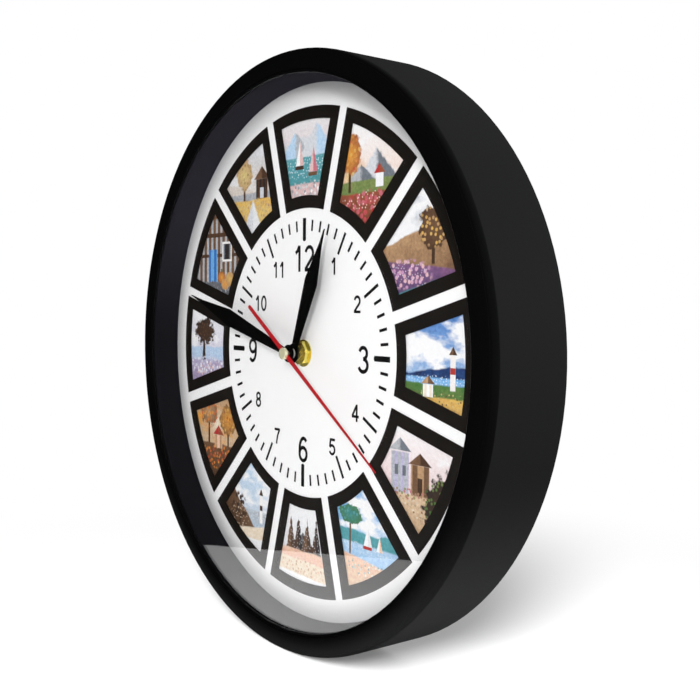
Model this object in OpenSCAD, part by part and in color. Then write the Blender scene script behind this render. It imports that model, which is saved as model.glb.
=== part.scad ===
// Round wall clock with a deep drum case, a photo dial of twelve sectors
// and a quartz movement with its whole gear train.
// Built lying on its back: x to the right, y to 12 o'clock, z out from the wall.
// Every node is then stood up, so the clock faces -Y with 12 o'clock at +Z.

/* [Case] */
// Outside diameter of the drum case
case_d = 300; // [280:1:330]
// Depth from the wall to the crest of the bezel
case_depth = 44.2; // [44:0.1:52]
// Thickness of the drum wall
wall = 2.5; // [1.6:0.1:3.5]
// Height of the bezel from its outer crease to the crest
bezel_rise = 4.7; // [3.5:0.1:6]
// Radial width of the bezel
bezel_w = 11.8; // [9:0.1:14]
// Width of the rounded shoulder outside the bezel's ridge
shoulder_w = 1.5; // [1:0.1:3.5]
// Width of the bead round the opening
bead_w = 1.6; // [1:0.1:2.4]
// Thickness of the bezel lip in front of the glass
lip_t = 2; // [1.6:0.1:2.4]
// Number of screw bosses inside the case
boss_count = 6; // [4:1:8]
// Diameter of a screw boss
boss_d = 5.2; // [4.6:0.1:6]

/* [Glass, spacer and dial] */
// Thickness of the glass
glass_t = 1.8; // [1.5:0.1:2.2]
// Depth from the crest of the bezel to the dial face
dial_drop = 18; // [17.9:0.1:19]
// How far the sloped ring runs in from the bezel opening down to the dial
ring_slope = 2.2; // [1.5:0.1:5]
// Thickness of the sloped ring's wall
ring_wall = 1.6; // [1:0.1:2.4]
// Thickness of the dial sheet
dial_t = 0.6; // [0.4:0.1:1]

/* [Picture windows] */
// Radius of the inner edge of the black frames
frame_in = 74; // [71:0.5:78]
// White margin between the black frames and the edge of the dial that shows
frame_margin = 11.2; // [8:0.1:16]
// Width of the white spoke between two frames
spoke_w = 5.9; // [3:0.1:9]
// Thickness of the black frames
frame_t = 0.3; // [0.2:0.05:0.5]
// Width of the black border round each picture window
border_w = 6.4; // [3:0.1:8]
// Thickness of a picture print
print_t = 0.25; // [0.15:0.05:0.35]

/* [Back plate] */
// Thickness of the back plate
plate_t = 2; // [1.5:0.1:3]
// Height of the stiffening ribs on the back plate
rib_h = 3; // [2:0.1:4]
// Thickness of the ribs
rib_t = 1.4; // [1:0.1:2]
// Number of radial ribs
rib_count = 12; // [6:2:24]
// Shank diameter of the plate screws
screw_d = 2.6; // [2:0.1:3]
// Length of the plate screws under the head
screw_l = 9; // [6:0.5:12]

/* [Hanger] */
// Drop from the top of the case to the middle of the hanger
hanger_drop = 46; // [40:1:60]
// Thickness of the hanger's steel strip
hanger_t = 1.2; // [0.8:0.1:2]
// Width of the hanger strip
hanger_w = 22; // [18:1:28]
// Length of the raised part of the hanger
hanger_l = 34; // [30:1:50]
// Length of each foot of the hanger
hanger_foot = 12; // [10:1:16]
// Depth between the wall and the raised part, for a nail head
nail_room = 3.4; // [2.5:0.1:5]
// Diameter of the round keyhole entry
key_d = 9; // [7:0.5:10]
// Width of the keyhole's slot
slot_w = 4.5; // [3:0.1:5.5]
// Length of the keyhole's slot above the entry
slot_l = 6; // [5:0.5:7]

/* [Movement] */
// Width of the movement case
mv_w = 56; // [50:0.5:60]
// Thickness of the movement case
mv_t = 15; // [15:0.1:16]
// Wall of the movement case
mv_wall = 1.3; // [1:0.1:1.6]
// Thickness of the movement's front floor
floor_t = 1.5; // [1.2:0.1:1.8]
// Thickness of the rubber washer behind the back plate
rubber_t = 1; // [0.5:0.1:1.5]
// Outside diameter of the threaded bush
bush_d = 7.7; // [7.4:0.1:8.2]
// Thickness of the washer under the nut
washer_t = 0.4; // [0.3:0.1:0.8]
// Thickness of the hexagonal nut
nut_t = 2.6; // [1.8:0.1:3]
// Width of the nut across its corners
nut_d = 12.8; // [12:0.1:14]
// Diameter of the battery cell
cell_d = 14.3; // [13.8:0.1:14.5]
// Room at the two ends of the cell for its button and the contacts
cell_room = 4.4; // [4.2:0.1:6]
// Diameter of the setting knob
knob_d = 10; // [8:0.5:11]

/* [Gear train] */
// Thickness of every gear
gear_t = 1; // [0.8:0.05:1.1]
// Step from one layer of gears to the next
layer_step = 1.6; // [1.6:0.05:1.65]
// Movement width that the distances below are given for
mv_ref = 56; // [50:0.5:60]
// Module of the rotor pinion and the intermediate wheel
rotor_module = 0.25; // [0.24:0.005:0.26]
// Distance from the centre to the intermediate arbor
seconds_reach = 9.72; // [9.5:0.02:9.9]
// Distance from the centre to the third arbor
third_reach = 10.8; // [10.5:0.05:11]
// Distance from the centre to the motion arbor
motion_reach = 8; // [7.9:0.05:8.2]

/* [Hands] */
// Length of the hour hand from the centre
hour_l = 67; // [55:0.5:72]
// Greatest width of the hour hand
hour_w = 10.5; // [6:0.5:14]
// Length of the minute hand from the centre
minute_l = 105; // [90:0.5:115]
// Greatest width of the minute hand
minute_w = 9.4; // [6:0.5:14]
// Length of the second hand from the centre
second_l = 89; // [70:1:110]
// Length of the second hand's tail
tail_l = 42; // [25:1:50]
// Thickness of the hands
hand_t = 0.5; // [0.3:0.1:0.8]
// Height of the hour hand above the dial
hour_lift = 6.4; // [6:0.1:6.5]
// Diameter of the hour hand's round hub
hour_hub_d = 9.8; // [8:0.2:12]
// Diameter of the minute hand's round hub
minute_hub_d = 9; // [6:0.2:11]
// Diameter of the cap on the second hand
cap_d = 6; // [4:0.2:8]
// Angle of the hour hand clockwise from 12
hour_angle = 23; // [0:0.5:360]
// Angle of the minute hand clockwise from 12
minute_angle = 286.4; // [0:0.2:360]
// Angle of the second hand clockwise from 12
second_angle = 124.6; // [0:0.2:360]

/* [Hidden] */
$fn = 64;

// Clearances
fit = 0.3;          // between fixed pieces that drop into each other
run = 0.08;         // round a turning shaft
seat = 0.02;        // between screw shanks and their holes
eps = 0.01;         // overlap that keeps cuts clean

// Heights out from the wall
crease_z = case_depth - bezel_rise;
glass_front = case_depth - lip_t;
glass_back = glass_front - glass_t;
dial_z = case_depth - dial_drop;
plate_front = dial_z - dial_t;
plate_back = plate_front - plate_t;
mv_front = plate_back - rubber_t;
mv_back = mv_front - mv_t;
floor_in = mv_front - floor_t;

// Radii of the drum
case_r = case_d / 2;
bore_r = case_r - wall;
lip_r = case_r - bezel_w;
boss_r = boss_d / 2;
boss_at = bore_r - 0.6 - boss_r;
glass_r = boss_at - boss_r - fit;
plate_r = bore_r - 0.4;
frame_out = lip_r - ring_slope - frame_margin;
hanger_y = case_r - hanger_drop;
screw_r = screw_d / 2;
head_r = 2.2;
head_t = 1.5;

// Levels of the gear layers, counted from the front floor
front_gap = 0.4;
function layer(i) = floor_in - front_gap - gear_t - i * layer_step;
hour_layer = layer(0);
motion_layer = layer(1);
centre_layer = layer(2);
mid_z = layer(3);
mid_t = 1;
third_layer = layer(4);
seconds_layer = layer(5);
rotor_layer = layer(6);
cover_t = 1.3;
cover_in = mv_back + cover_t;

// Tooth counts
n_rotor = 10;
n_inter = 60;
n_inter_pinion = 12;
n_seconds = 60;
n_seconds_pinion = 8;
n_third = 60;
n_third_pinion = 8;
n_centre = 64;
n_cannon = 12;
n_motion = 36;
n_motion_pinion = 10;
n_hour = 40;
n_knob = 12;

// Scale of the works, and the modules that follow from the arbor distances
unit = mv_w / mv_ref;
m_rotor = rotor_module * unit;
a_seconds = seconds_reach * unit;
a_third = third_reach * unit;
a_motion = motion_reach * unit;
m_seconds = 2 * a_seconds / (n_inter_pinion + n_seconds);
m_third = 2 * a_third / (n_seconds_pinion + n_third);
m_centre = 2 * a_third / (n_third_pinion + n_centre);
m_motion = 2 * a_motion / (n_cannon + n_motion);
m_hour = 2 * a_motion / (n_motion_pinion + n_hour);
a_rotor = m_rotor * (n_rotor + n_inter) / 2;
a_knob = m_motion * (n_motion + n_knob) / 2;

// Directions from one arbor to the next, counter-clockwise from +x
dir_third = 35;
dir_inter = 150;
dir_rotor = 110;
dir_motion = 180;
dir_knob = 200;

function polar(r, a) = [r * cos(a), r * sin(a)];
function back_along(dir) = dir + 180;
third_at = polar(a_third, dir_third);
inter_at = polar(a_seconds, dir_inter);
rotor_at = inter_at + polar(a_rotor, dir_rotor);
motion_at = polar(a_motion, dir_motion);
knob_at = motion_at + polar(a_knob, dir_knob);

// Shaft radii
arbor_r = 0.5;
second_r = 0.45;
minute_in = second_r + 0.1;
minute_r = 1.35;
hour_in = minute_r + 0.1;
hour_r = 2.5;
bush_in = hour_r + 0.08;
bush_r = bush_d / 2;
knob_arbor_r = 1;

// Stack of the hands
hour_z = dial_z + hour_lift;
bush_end = hour_z - 1.4;
minute_z = hour_z + 2.8;
second_z = minute_z + 2.1;
cap_h = 1.7;

// Phase that makes gear b mesh with gear a, seen along the direction from a to b
function mesh(dir, n_a, phase_a, n_b) = back_along(dir) - (0.5 - (dir - phase_a) * n_a / 360) * 360 / n_b;
rotor_phase = mesh(dir_rotor, n_inter, 0, n_rotor);
seconds_phase = mesh(back_along(dir_inter), n_inter_pinion, 0, n_seconds);
third_phase = mesh(dir_third, n_seconds_pinion, 0, n_third);
centre_phase = mesh(back_along(dir_third), n_third_pinion, 0, n_centre);
motion_phase = mesh(dir_motion, n_cannon, 0, n_motion);
hour_phase = mesh(back_along(dir_motion), n_motion_pinion, 0, n_hour);
knob_phase = mesh(dir_knob, n_motion, motion_phase, n_knob);

// Stands the clock up against the wall
module upright() {
    rotate([90, 0, 0]) children();
}

module at_angle(r, a, z) {
    rotate([0, 0, a]) translate([r, 0, z]) children();
}

// Outline of a gear with straight-sided teeth and wide backlash
module gear_outline(n, m, phase) {
    tip = m * n / 2 + 0.75 * m;
    root = m * n / 2 - 1.15 * m;
    step = 360 / n;
    root_half = step * 0.26;
    tip_half = step * 0.1;
    tooth = [[root, -root_half], [tip, -tip_half], [tip, tip_half], [root, root_half]];
    polygon([for (i = [0 : n - 1]) for (p = tooth) polar(p[0], phase + i * step + p[1])]);
}

module gear(n, m, phase, z, hole = 0) {
    translate([0, 0, z]) linear_extrude(gear_t) difference() {
        gear_outline(n, m, phase);
        if (hole > 0) circle(hole);
    }
}

// A large wheel: toothed rim, thin web with lightening holes and a hub
module wheel(n, m, phase, z, hub_r, hole, holes) {
    root = m * n / 2 - 1.15 * m;
    rim = root - 0.9;
    difference() {
        gear(n, m, phase, z, hole);
        translate([0, 0, z + gear_t - 0.35]) difference() {
            cylinder(h = 1, r = rim);
            translate([0, 0, -1]) cylinder(h = 3, r = hub_r);
        }
        for (i = [0 : holes - 1])
            at_angle((rim + hub_r) / 2, i * 360 / holes, z - 1) cylinder(h = 3, r = (rim - hub_r) * 0.3);
    }
}

// Cross-section of the case: rounded shoulder, crown, bead and glass seat
module case_profile() {
    ridge_r = case_r - shoulder_w;
    ridge_z = case_depth - 1.1;
    crown_in = lip_r + bead_w;
    bead_z = case_depth - 0.2 - bead_w / 2;
    ridge_rise = ridge_z - crease_z;
    bead_r = bead_w / 2;
    shoulder = [for (a = [0 : 15 : 90]) [ridge_r + shoulder_w * cos(a), crease_z + ridge_rise * sin(a)]];
    crown_out = ridge_r - 0.2;
    crown = [for (t = [0 : 0.125 : 1])
        [crown_out + (crown_in - crown_out) * t, ridge_z + 0.3 + 0.8 * (1 - pow((2 * t - 1.3) / 1.3, 2))]];
    bead = [for (a = [0 : 20 : 180]) [lip_r + bead_r + bead_r * cos(a), bead_z + bead_r * sin(a)]];
    polygon(concat([[bore_r, 0], [case_r, 0]], shoulder, crown, bead,
        [[lip_r, glass_front], [bore_r - 1, glass_front], [bore_r, glass_front - 1]]));
}

module case_ring() {
    boss_h = glass_front - plate_front + 0.5;
    color([0.09, 0.09, 0.1]) upright() {
        rotate_extrude($fn = 180) case_profile();
        for (i = [0 : boss_count - 1])
            at_angle(boss_at, 30 + i * 360 / boss_count, plate_front) difference() {
                union() {
                    cylinder(h = boss_h, r = boss_r);
                    translate([0, -boss_r / 2, 0]) cube([boss_r + 1.2, boss_r, boss_h]);
                }
                translate([0, 0, -1]) cylinder(h = screw_l + 1, r = screw_r + seat);
            }
    }
}

module glass_lens() {
    color([0.8, 0.88, 0.9, 0.4]) upright()
        translate([0, 0, glass_back]) cylinder(h = glass_t, r = glass_r, $fn = 180);
}

// Sloped ring between the glass and the dial, cored out from outside
module sloped_ring() {
    top_r = lip_r + 0.2;
    low_r = lip_r - ring_slope;
    flange = 1.8;
    h = glass_back - dial_z;
    slope = (top_r - low_r) / h;
    color([0.16, 0.17, 0.19]) upright() translate([0, 0, dial_z]) rotate_extrude($fn = 180)
        polygon([[low_r, 0], [glass_r, 0], [glass_r, flange], [low_r + slope * flange + ring_wall, flange],
            [min(low_r + slope * (h - flange) + ring_wall, glass_r), h - flange], [glass_r, h - flange],
            [glass_r, h], [top_r, h]]);
}

// One child at each of the twelve hours
module at_hours() {
    for (i = [0 : 11])
        rotate([0, 0, -i * 30]) children();
}

// Sector between two white spokes, on the twelve o'clock line, drawn in by an inset
module sector_shape(inset) {
    far = frame_out * 1.2;
    shift = (spoke_w / 2 + inset) / sin(15);
    intersection() {
        difference() {
            circle(frame_out - inset, $fn = 180);
            circle(frame_in + inset, $fn = 180);
        }
        polygon([[0, shift], [far * tan(15), shift + far], [-far * tan(15), shift + far]]);
    }
}

// White dial sheet, cut out behind every picture window
cut_grow = 0.6;
print_play = 0.2;
module dial() {
    color([0.96, 0.96, 0.95]) upright() translate([0, 0, plate_front]) difference() {
        cylinder(h = dial_t, r = glass_r, $fn = 180);
        translate([0, 0, -1]) cylinder(h = dial_t + 2, r = bush_r + 0.15);
        at_hours() translate([0, 0, -1]) linear_extrude(dial_t + 2) sector_shape(border_w - cut_grow);
    }
}

module window_frames() {
    color([0.11, 0.09, 0.08]) upright() at_hours()
        translate([0, 0, dial_z]) linear_extrude(frame_t) difference() {
            sector_shape(0);
            sector_shape(border_w);
        }
}

// Prints that lie in the dial's cut-outs, against the back plate
module picture_prints() {
    color([0.62, 0.66, 0.7]) upright() at_hours()
        translate([0, 0, plate_front]) linear_extrude(print_t) sector_shape(border_w - cut_grow + print_play);
}

module back_plate() {
    rib_in = mv_w / 2 * sqrt(2) + 4;
    rib_out = boss_at - 6;
    rib_z = plate_back - rib_h;
    color([0.12, 0.12, 0.13]) upright() difference() {
        union() {
            translate([0, 0, plate_back]) cylinder(h = plate_t, r = plate_r, $fn = 180);
            for (r = [rib_in, rib_out])
                translate([0, 0, rib_z]) difference() {
                    cylinder(h = rib_h + eps, r = r, $fn = 120);
                    translate([0, 0, -1]) cylinder(h = rib_h + 2, r = r - rib_t, $fn = 120);
                }
            for (i = [0 : rib_count - 1])
                at_angle(rib_in - rib_t / 2, 15 + i * 360 / rib_count, rib_z)
                    translate([0, -rib_t / 2, 0]) cube([rib_out - rib_in, rib_t, rib_h + eps]);
        }
        for (s = [-1, 1])
            translate([s * foot_at - foot_pad[0] / 2, hanger_y - foot_pad[1] / 2, rib_z - 1])
                cube([foot_pad[0], foot_pad[1], rib_h + 1]);
        translate([0, 0, plate_back - 1]) cylinder(h = plate_t + 2, r = bush_r + 0.15);
        for (i = [0 : boss_count - 1])
            at_angle(boss_at, 30 + i * 360 / boss_count, plate_back - 1)
                cylinder(h = plate_t + 2, r = screw_r + seat);
        for (s = [-1, 1])
            translate([s * foot_at, hanger_y, plate_back - 1])
                cylinder(h = plate_t + 0.6, r = screw_r + seat);
    }
}

// Pan-head screw standing with its head at the back
module screw(length) {
    translate([0, 0, -head_t]) difference() {
        union() {
            cylinder(h = head_t, r1 = head_r - 0.4, r2 = head_r, $fn = 24);
            translate([0, 0, head_t - eps]) cylinder(h = length - 0.8 + eps, r = screw_r, $fn = 24);
            translate([0, 0, head_t + length - 0.8])
                cylinder(h = 0.8, r1 = screw_r, r2 = screw_r * 0.4, $fn = 24);
        }
        for (a = [0, 90])
            rotate([0, 0, a]) translate([-1.3, -0.25, -eps]) cube([2.6, 0.5, 0.7]);
    }
}

module back_plate_screws() {
    color("silver") upright() for (i = [0 : boss_count - 1])
        at_angle(boss_at, 30 + i * 360 / boss_count, plate_back) screw(screw_l);
}

// Steel hat bracket with a keyhole, its feet on the back plate
foot_at = hanger_l / 2 + hanger_foot / 2;
foot_pad = [hanger_foot + 2 * hanger_t + 2, hanger_w + 2];
module hanger_bracket() {
    top_back = nail_room;
    rise = plate_back - top_back;
    key_y = -3;
    slot_reach = key_d / 2 + slot_l - slot_w / 2;
    color([0.62, 0.64, 0.66]) upright() translate([0, hanger_y, 0]) difference() {
        union() {
            translate([-hanger_l / 2, -hanger_w / 2, top_back]) cube([hanger_l, hanger_w, hanger_t]);
            for (s = [0, 1]) mirror([s, 0, 0]) {
                translate([hanger_l / 2 - hanger_t, -hanger_w / 2, top_back])
                    cube([hanger_t, hanger_w, rise]);
                translate([hanger_l / 2 - hanger_t, -hanger_w / 2, plate_back - hanger_t])
                    cube([hanger_foot + hanger_t, hanger_w, hanger_t]);
            }
        }
        translate([0, key_y, top_back - 1]) {
            cylinder(h = hanger_t + 2, r = key_d / 2);
            translate([-slot_w / 2, 0, 0]) cube([slot_w, slot_reach, hanger_t + 2]);
            translate([0, slot_reach, 0]) cylinder(h = hanger_t + 2, r = slot_w / 2);
        }
        for (s = [-1, 1])
            translate([s * foot_at, 0, plate_back - hanger_t - 1])
                cylinder(h = hanger_t + 2, r = screw_r + seat);
    }
}

module hanger_screws() {
    length = hanger_t + plate_t - 0.6;
    color("silver") upright() for (s = [-1, 1])
        translate([s * foot_at, hanger_y, plate_back - hanger_t]) screw(length);
}

// Movement case: square shell with a battery bay below the largest wheel
half = mv_w / 2;
wheel_gap = 0.675;
bay_wall = -m_centre * (n_centre / 2 + 0.75) - wheel_gap;
bay_top = bay_wall - mv_wall;
mv_low = bay_top - cell_d - 2 * fit - mv_wall;
cell_y = mv_low + mv_wall + fit + cell_d / 2;
cell_z = floor_in - 0.2 - cell_d / 2;
cell_l = mv_w - 2 * mv_wall - cell_room;
post_r = 1.5;
peg_r = 0.7;
posts = unit * [[-22.5, -7.5], [22.5, -7.5], [-23.5, 15.5], [22.5, 12]];
board_z = layer(3);

// Catches that clip the cover on, and the notch to lift the cell out
catch_t = 0.9;
catch_l = 5;
catch_h = 2.2;
catch_in = 1.6;
catch_low = -6 * unit;
catch_high = 12 * unit;
finger_r = 5.5 * unit;

// Tab with a hole at the top of the movement
module hanging_tab() {
    tab_w = 11 * unit;
    tab_l = 7 * unit;
    tab_t = 1.6;
    translate([0, half - eps, mv_back]) linear_extrude(tab_t) difference() {
        polygon([[-tab_w / 2 - 1.5, 0], [tab_w / 2 + 1.5, 0], [tab_w / 2, 1.5],
            [tab_w / 2, tab_l - 2], [tab_w / 2 - 2, tab_l], [2 - tab_w / 2, tab_l],
            [-tab_w / 2, tab_l - 2], [-tab_w / 2, 1.5]]);
        translate([0, tab_l / 2]) circle(r = tab_l / 4);
        translate([-tab_l / 10, tab_l / 2]) square([tab_l / 5, tab_l * 0.38]);
    }
}

module movement_case() {
    hollow_h = floor_in - mv_back + 1;
    color([0.2, 0.2, 0.21]) upright() difference() {
        union() {
            difference() {
                translate([-half, mv_low, mv_back]) cube([mv_w, half - mv_low, mv_t]);
                translate([-half + mv_wall, bay_wall, mv_back - 1])
                    cube([mv_w - 2 * mv_wall, half - mv_wall - bay_wall, hollow_h]);
                translate([-half + mv_wall, mv_low + mv_wall, mv_back - 1])
                    cube([mv_w - 2 * mv_wall, bay_top - mv_low - mv_wall, hollow_h]);
            }
            for (p = posts) {
                translate([p[0], p[1], mid_z + mid_t])
                    cylinder(h = floor_in - mid_z - mid_t + eps, r = post_r);
                translate([p[0], p[1], mid_z + 0.2]) cylinder(h = floor_in - mid_z, r = peg_r);
            }
            translate([motion_at[0], motion_at[1], motion_layer - 0.2])
                cylinder(h = floor_in - motion_layer + 0.3, r = arbor_r);
            hanging_tab();
            for (s = [0, 1])
                mirror([s, 0, 0]) for (y = [catch_low, catch_high])
                    translate([half - eps, y, mv_back + catch_in]) cube([catch_t, catch_l, catch_h]);
        }
        translate([0, 0, floor_in - 1]) cylinder(h = floor_t + 2, r = bush_r + seat);
        translate([0, mv_low - 1, mv_back]) rotate([-90, 0, 0]) cylinder(h = mv_wall + 2, r = finger_r);
        translate([0, 0, floor_in - 1]) cylinder(h = 1 + bush_flange_t, r = bush_flange_r);
        translate([third_at[0], third_at[1], floor_in - 1]) cylinder(h = 1 + 0.6, r = arbor_r + run);
        translate([knob_at[0], knob_at[1], floor_in - 1]) cylinder(h = 1 + 0.6, r = knob_arbor_r + run);
    }
}

// Raised rim, bearing bosses, plus and minus marks and turning arrows on the cover's back
relief = 0.4;
module cover_relief(edge, inset) {
    side = half - inset;
    rim = 1.1;
    mark_at = half - 6 * unit;
    mark_y = edge + 4 * unit;
    bar = [3.2, 0.8];
    arrow_r = knob_d / 2 + 1.5;
    difference() {
        translate([-side, edge]) square([2 * side, side - edge]);
        translate([rim - side, edge + rim]) square([2 * side - 2 * rim, side - edge - 2 * rim]);
    }
    for (p = [[0, 0], third_at, inter_at, rotor_at])
        translate(p) circle(r = 1.7);
    for (x = [-mark_at, mark_at])
        translate([x, mark_y]) square(bar, center = true);
    translate([mark_at, mark_y]) square([bar[1], bar[0]], center = true);
    translate(knob_at) for (s = [0, 1])
        mirror([s, 0]) {
            polygon([for (a = [56 : 6 : 80]) polar(arrow_r - 0.3, a),
                for (a = [80 : -6 : 56]) polar(arrow_r + 0.3, a)]);
            polygon([polar(arrow_r - 1, 57), polar(arrow_r + 1, 57), polar(arrow_r, 42)]);
        }
}

module movement_cover() {
    edge = bay_wall + fit;
    inset = mv_wall + fit;
    color([0.24, 0.24, 0.25]) upright() difference() {
        union() {
            translate([-half + inset, edge, mv_back]) cube([mv_w - 2 * inset, half - inset - edge, cover_t]);
            for (p = posts)
                translate([p[0], p[1], cover_in - eps]) cylinder(h = mid_z - cover_in, r = post_r);
            translate([knob_at[0], knob_at[1], mv_back]) cylinder(h = cover_t + 0.8, r = knob_arbor_r + 1.2);
            translate([0, 0, mv_back - relief]) linear_extrude(relief + eps) cover_relief(edge, inset);
        }
        translate([knob_at[0], knob_at[1], mv_back - 1]) cylinder(h = cover_t + 3, r = knob_arbor_r + run);
        for (p = [third_at, inter_at, rotor_at])
            translate([p[0], p[1], cover_in - 0.6]) cylinder(h = 1, r = arbor_r + run);
        translate([0, 0, cover_in - 0.6]) cylinder(h = 1, r = second_r + run);
    }
}

// Plate between the slow and the fast gears, cut away for the coil and the circuit board
module middle_plate() {
    side = half - mv_wall - 1.2;
    low_edge = bay_wall + 0.6;
    board_x = board_at[0] - 1.7;
    board_edge = board_at[1] - 1.6;
    coil_x = stator_x + stator_w + 0.9;
    coil_edge = core_y - bobbin_r - 0.7;
    color([0.72, 0.7, 0.66]) upright() translate([0, 0, mid_z]) difference() {
        linear_extrude(mid_t) polygon([[-side, low_edge], [side, low_edge], [side, board_edge],
            [board_x, board_edge], [coil_x, coil_edge - 1], [-side, coil_edge]]);
        translate([0, 0, -1]) cylinder(h = 3, r = minute_in + 0.3);
        for (p = posts)
            translate([p[0], p[1], -1]) cylinder(h = 3, r = peg_r + 0.05);
        translate([third_at[0], third_at[1], -1]) cylinder(h = 3, r = m_third * 4 + 1);
        translate([knob_at[0], knob_at[1], -1]) cylinder(h = 3, r = knob_arbor_r + 0.3);
        for (p = [inter_at, rotor_at])
            translate([p[0], p[1], -1]) cylinder(h = 1.6, r = arbor_r + run);
    }
}

// Brass bush, nut, washer and rubber ring that clamp the movement to the plate
bush_flange_r = 5.2;
bush_flange_t = 0.7;
module threaded_bush() {
    color([0.78, 0.64, 0.3]) upright() difference() {
        union() {
            translate([0, 0, floor_in]) cylinder(h = bush_flange_t, r = bush_flange_r);
            translate([0, 0, floor_in]) cylinder(h = bush_end - floor_in - 0.4, r = bush_r);
            translate([0, 0, bush_end - 0.4 - eps]) cylinder(h = 0.4 + eps, r1 = bush_r, r2 = bush_r - 0.4);
        }
        translate([0, 0, floor_in - 1]) cylinder(h = bush_end - floor_in + 2, r = bush_in);
    }
}

module hex_nut() {
    color([0.78, 0.66, 0.32]) upright() translate([0, 0, dial_z + washer_t]) difference() {
        intersection() {
            rotate([0, 0, 12]) cylinder(h = nut_t, r = nut_d / 2, $fn = 6);
            cylinder(h = nut_t, r1 = nut_d / 2 + nut_t - 0.7, r2 = nut_d / 2 - 0.7, $fn = 48);
        }
        translate([0, 0, -1]) cylinder(h = nut_t + 2, r = bush_r + seat);
    }
}

module nut_washer() {
    color([0.8, 0.7, 0.4]) upright() translate([0, 0, dial_z]) difference() {
        cylinder(h = washer_t, r = nut_d / 2 + 0.6);
        translate([0, 0, -1]) cylinder(h = washer_t + 2, r = bush_r + 0.1);
    }
}

module rubber_washer() {
    color([0.05, 0.05, 0.05]) upright() translate([0, 0, mv_front]) difference() {
        cylinder(h = rubber_t, r = 9);
        translate([0, 0, -1]) cylinder(h = rubber_t + 2, r = bush_r + 0.1);
    }
}

// Stepping motor: stator loop, coil and rotor
magnet_r = 2.8 * unit;
magnet_h = 2.8;
stator_t = 1.2;
stator_z = third_layer - 0.4;
stator_gap = 0.5;
pole_w = 8 * unit;
leg_w = 3 * unit;
stator_w = 19 * unit;
core_w = 2.4 * unit;
bobbin_r = 3.9 * unit;
core_y = half - mv_wall - bobbin_r - 0.8;
stator_x = rotor_at[0] - stator_w / 2;

module stator() {
    color([0.6, 0.6, 0.62]) upright() translate([0, 0, stator_z]) linear_extrude(stator_t) difference() {
        union() {
            translate([stator_x, rotor_at[1] - pole_w / 2]) square([stator_w, pole_w]);
            for (x = [stator_x, stator_x + stator_w - leg_w])
                translate([x, rotor_at[1]]) square([leg_w, core_y + core_w / 2 - rotor_at[1]]);
            translate([stator_x, core_y - core_w / 2]) square([stator_w, core_w]);
        }
        translate(rotor_at) circle(magnet_r + stator_gap);
    }
}

bobbin_x = stator_x + leg_w + fit;
bobbin_l = stator_w - 2 * leg_w - 2 * fit;
bobbin_flange = 0.8;
spool_r = 1.9 * unit;
core_play = 0.05;

// Lays a child along the coil's core, from the bobbin's left end
module on_core() {
    translate([bobbin_x, core_y, stator_z + stator_t / 2]) rotate([0, 90, 0]) children();
}

module coil_bobbin() {
    color([0.85, 0.83, 0.78]) upright() on_core() difference() {
        union() {
            cylinder(h = bobbin_l, r = spool_r);
            cylinder(h = bobbin_flange, r = bobbin_r);
            translate([0, 0, bobbin_l - bobbin_flange]) cylinder(h = bobbin_flange, r = bobbin_r);
        }
        translate([-stator_t / 2 - core_play, -core_w / 2 - core_play, -1])
            cube([stator_t + 2 * core_play, core_w + 2 * core_play, bobbin_l + 2]);
    }
}

module coil_winding() {
    color([0.72, 0.4, 0.22]) upright() on_core() translate([0, 0, bobbin_flange]) difference() {
        cylinder(h = bobbin_l - 2 * bobbin_flange, r = bobbin_r - 0.4);
        translate([0, 0, -1]) cylinder(h = bobbin_l + 2, r = spool_r);
    }
}

module rotor_magnet() {
    color([0.25, 0.25, 0.28]) upright()
        translate([rotor_at[0], rotor_at[1], stator_z + stator_t / 2 - magnet_h / 2]) difference() {
            cylinder(h = magnet_h, r = magnet_r);
            translate([0, 0, -1]) cylinder(h = magnet_h + 2, r = arbor_r);
        }
}

module rotor_pinion() {
    color([0.9, 0.9, 0.86]) upright() translate([rotor_at[0], rotor_at[1], 0]) {
        gear(n_rotor, m_rotor, rotor_phase, rotor_layer);
        translate([0, 0, cover_in - 0.5]) cylinder(h = mid_z + 0.5 - cover_in + 0.5, r = arbor_r);
    }
}

module intermediate_wheel() {
    color([0.92, 0.9, 0.84]) upright() translate([inter_at[0], inter_at[1], 0]) {
        wheel(n_inter, m_rotor, 0, rotor_layer, 2.2, 0, 5);
        translate([0, 0, rotor_layer]) cylinder(h = seconds_layer - rotor_layer, r = 1);
        gear(n_inter_pinion, m_seconds, 0, seconds_layer);
        translate([0, 0, cover_in - 0.5]) cylinder(h = mid_z + 0.5 - cover_in + 0.5, r = arbor_r);
    }
}

// Seconds wheel and pinion on the thin arbor that carries the second hand
module seconds_wheel() {
    color([0.9, 0.88, 0.8]) upright() {
        wheel(n_seconds, m_seconds, seconds_phase, seconds_layer, 2, second_r, 5);
        translate([0, 0, seconds_layer + gear_t - 0.35 - eps]) difference() {
            cylinder(h = third_layer - seconds_layer - gear_t + 0.35 + 2 * eps, r = 0.9);
            translate([0, 0, -1]) cylinder(h = 4, r = second_r);
        }
        gear(n_seconds_pinion, m_third, 0, third_layer, second_r);
    }
}

module seconds_arbor() {
    color([0.75, 0.76, 0.78]) upright()
        translate([0, 0, cover_in - 0.5]) cylinder(h = second_z + hand_t + 0.5 - cover_in, r = second_r);
}

module third_wheel() {
    color([0.92, 0.9, 0.84]) upright() translate([third_at[0], third_at[1], 0]) {
        wheel(n_third, m_third, third_phase, third_layer, 2.2, 0, 5);
        translate([0, 0, third_layer + gear_t / 2]) cylinder(h = centre_layer - third_layer, r = 0.9);
        gear(n_third_pinion, m_centre, 0, centre_layer);
        translate([0, 0, cover_in - 0.5]) cylinder(h = floor_in + 0.5 - cover_in + 0.5, r = arbor_r);
    }
}

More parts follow.
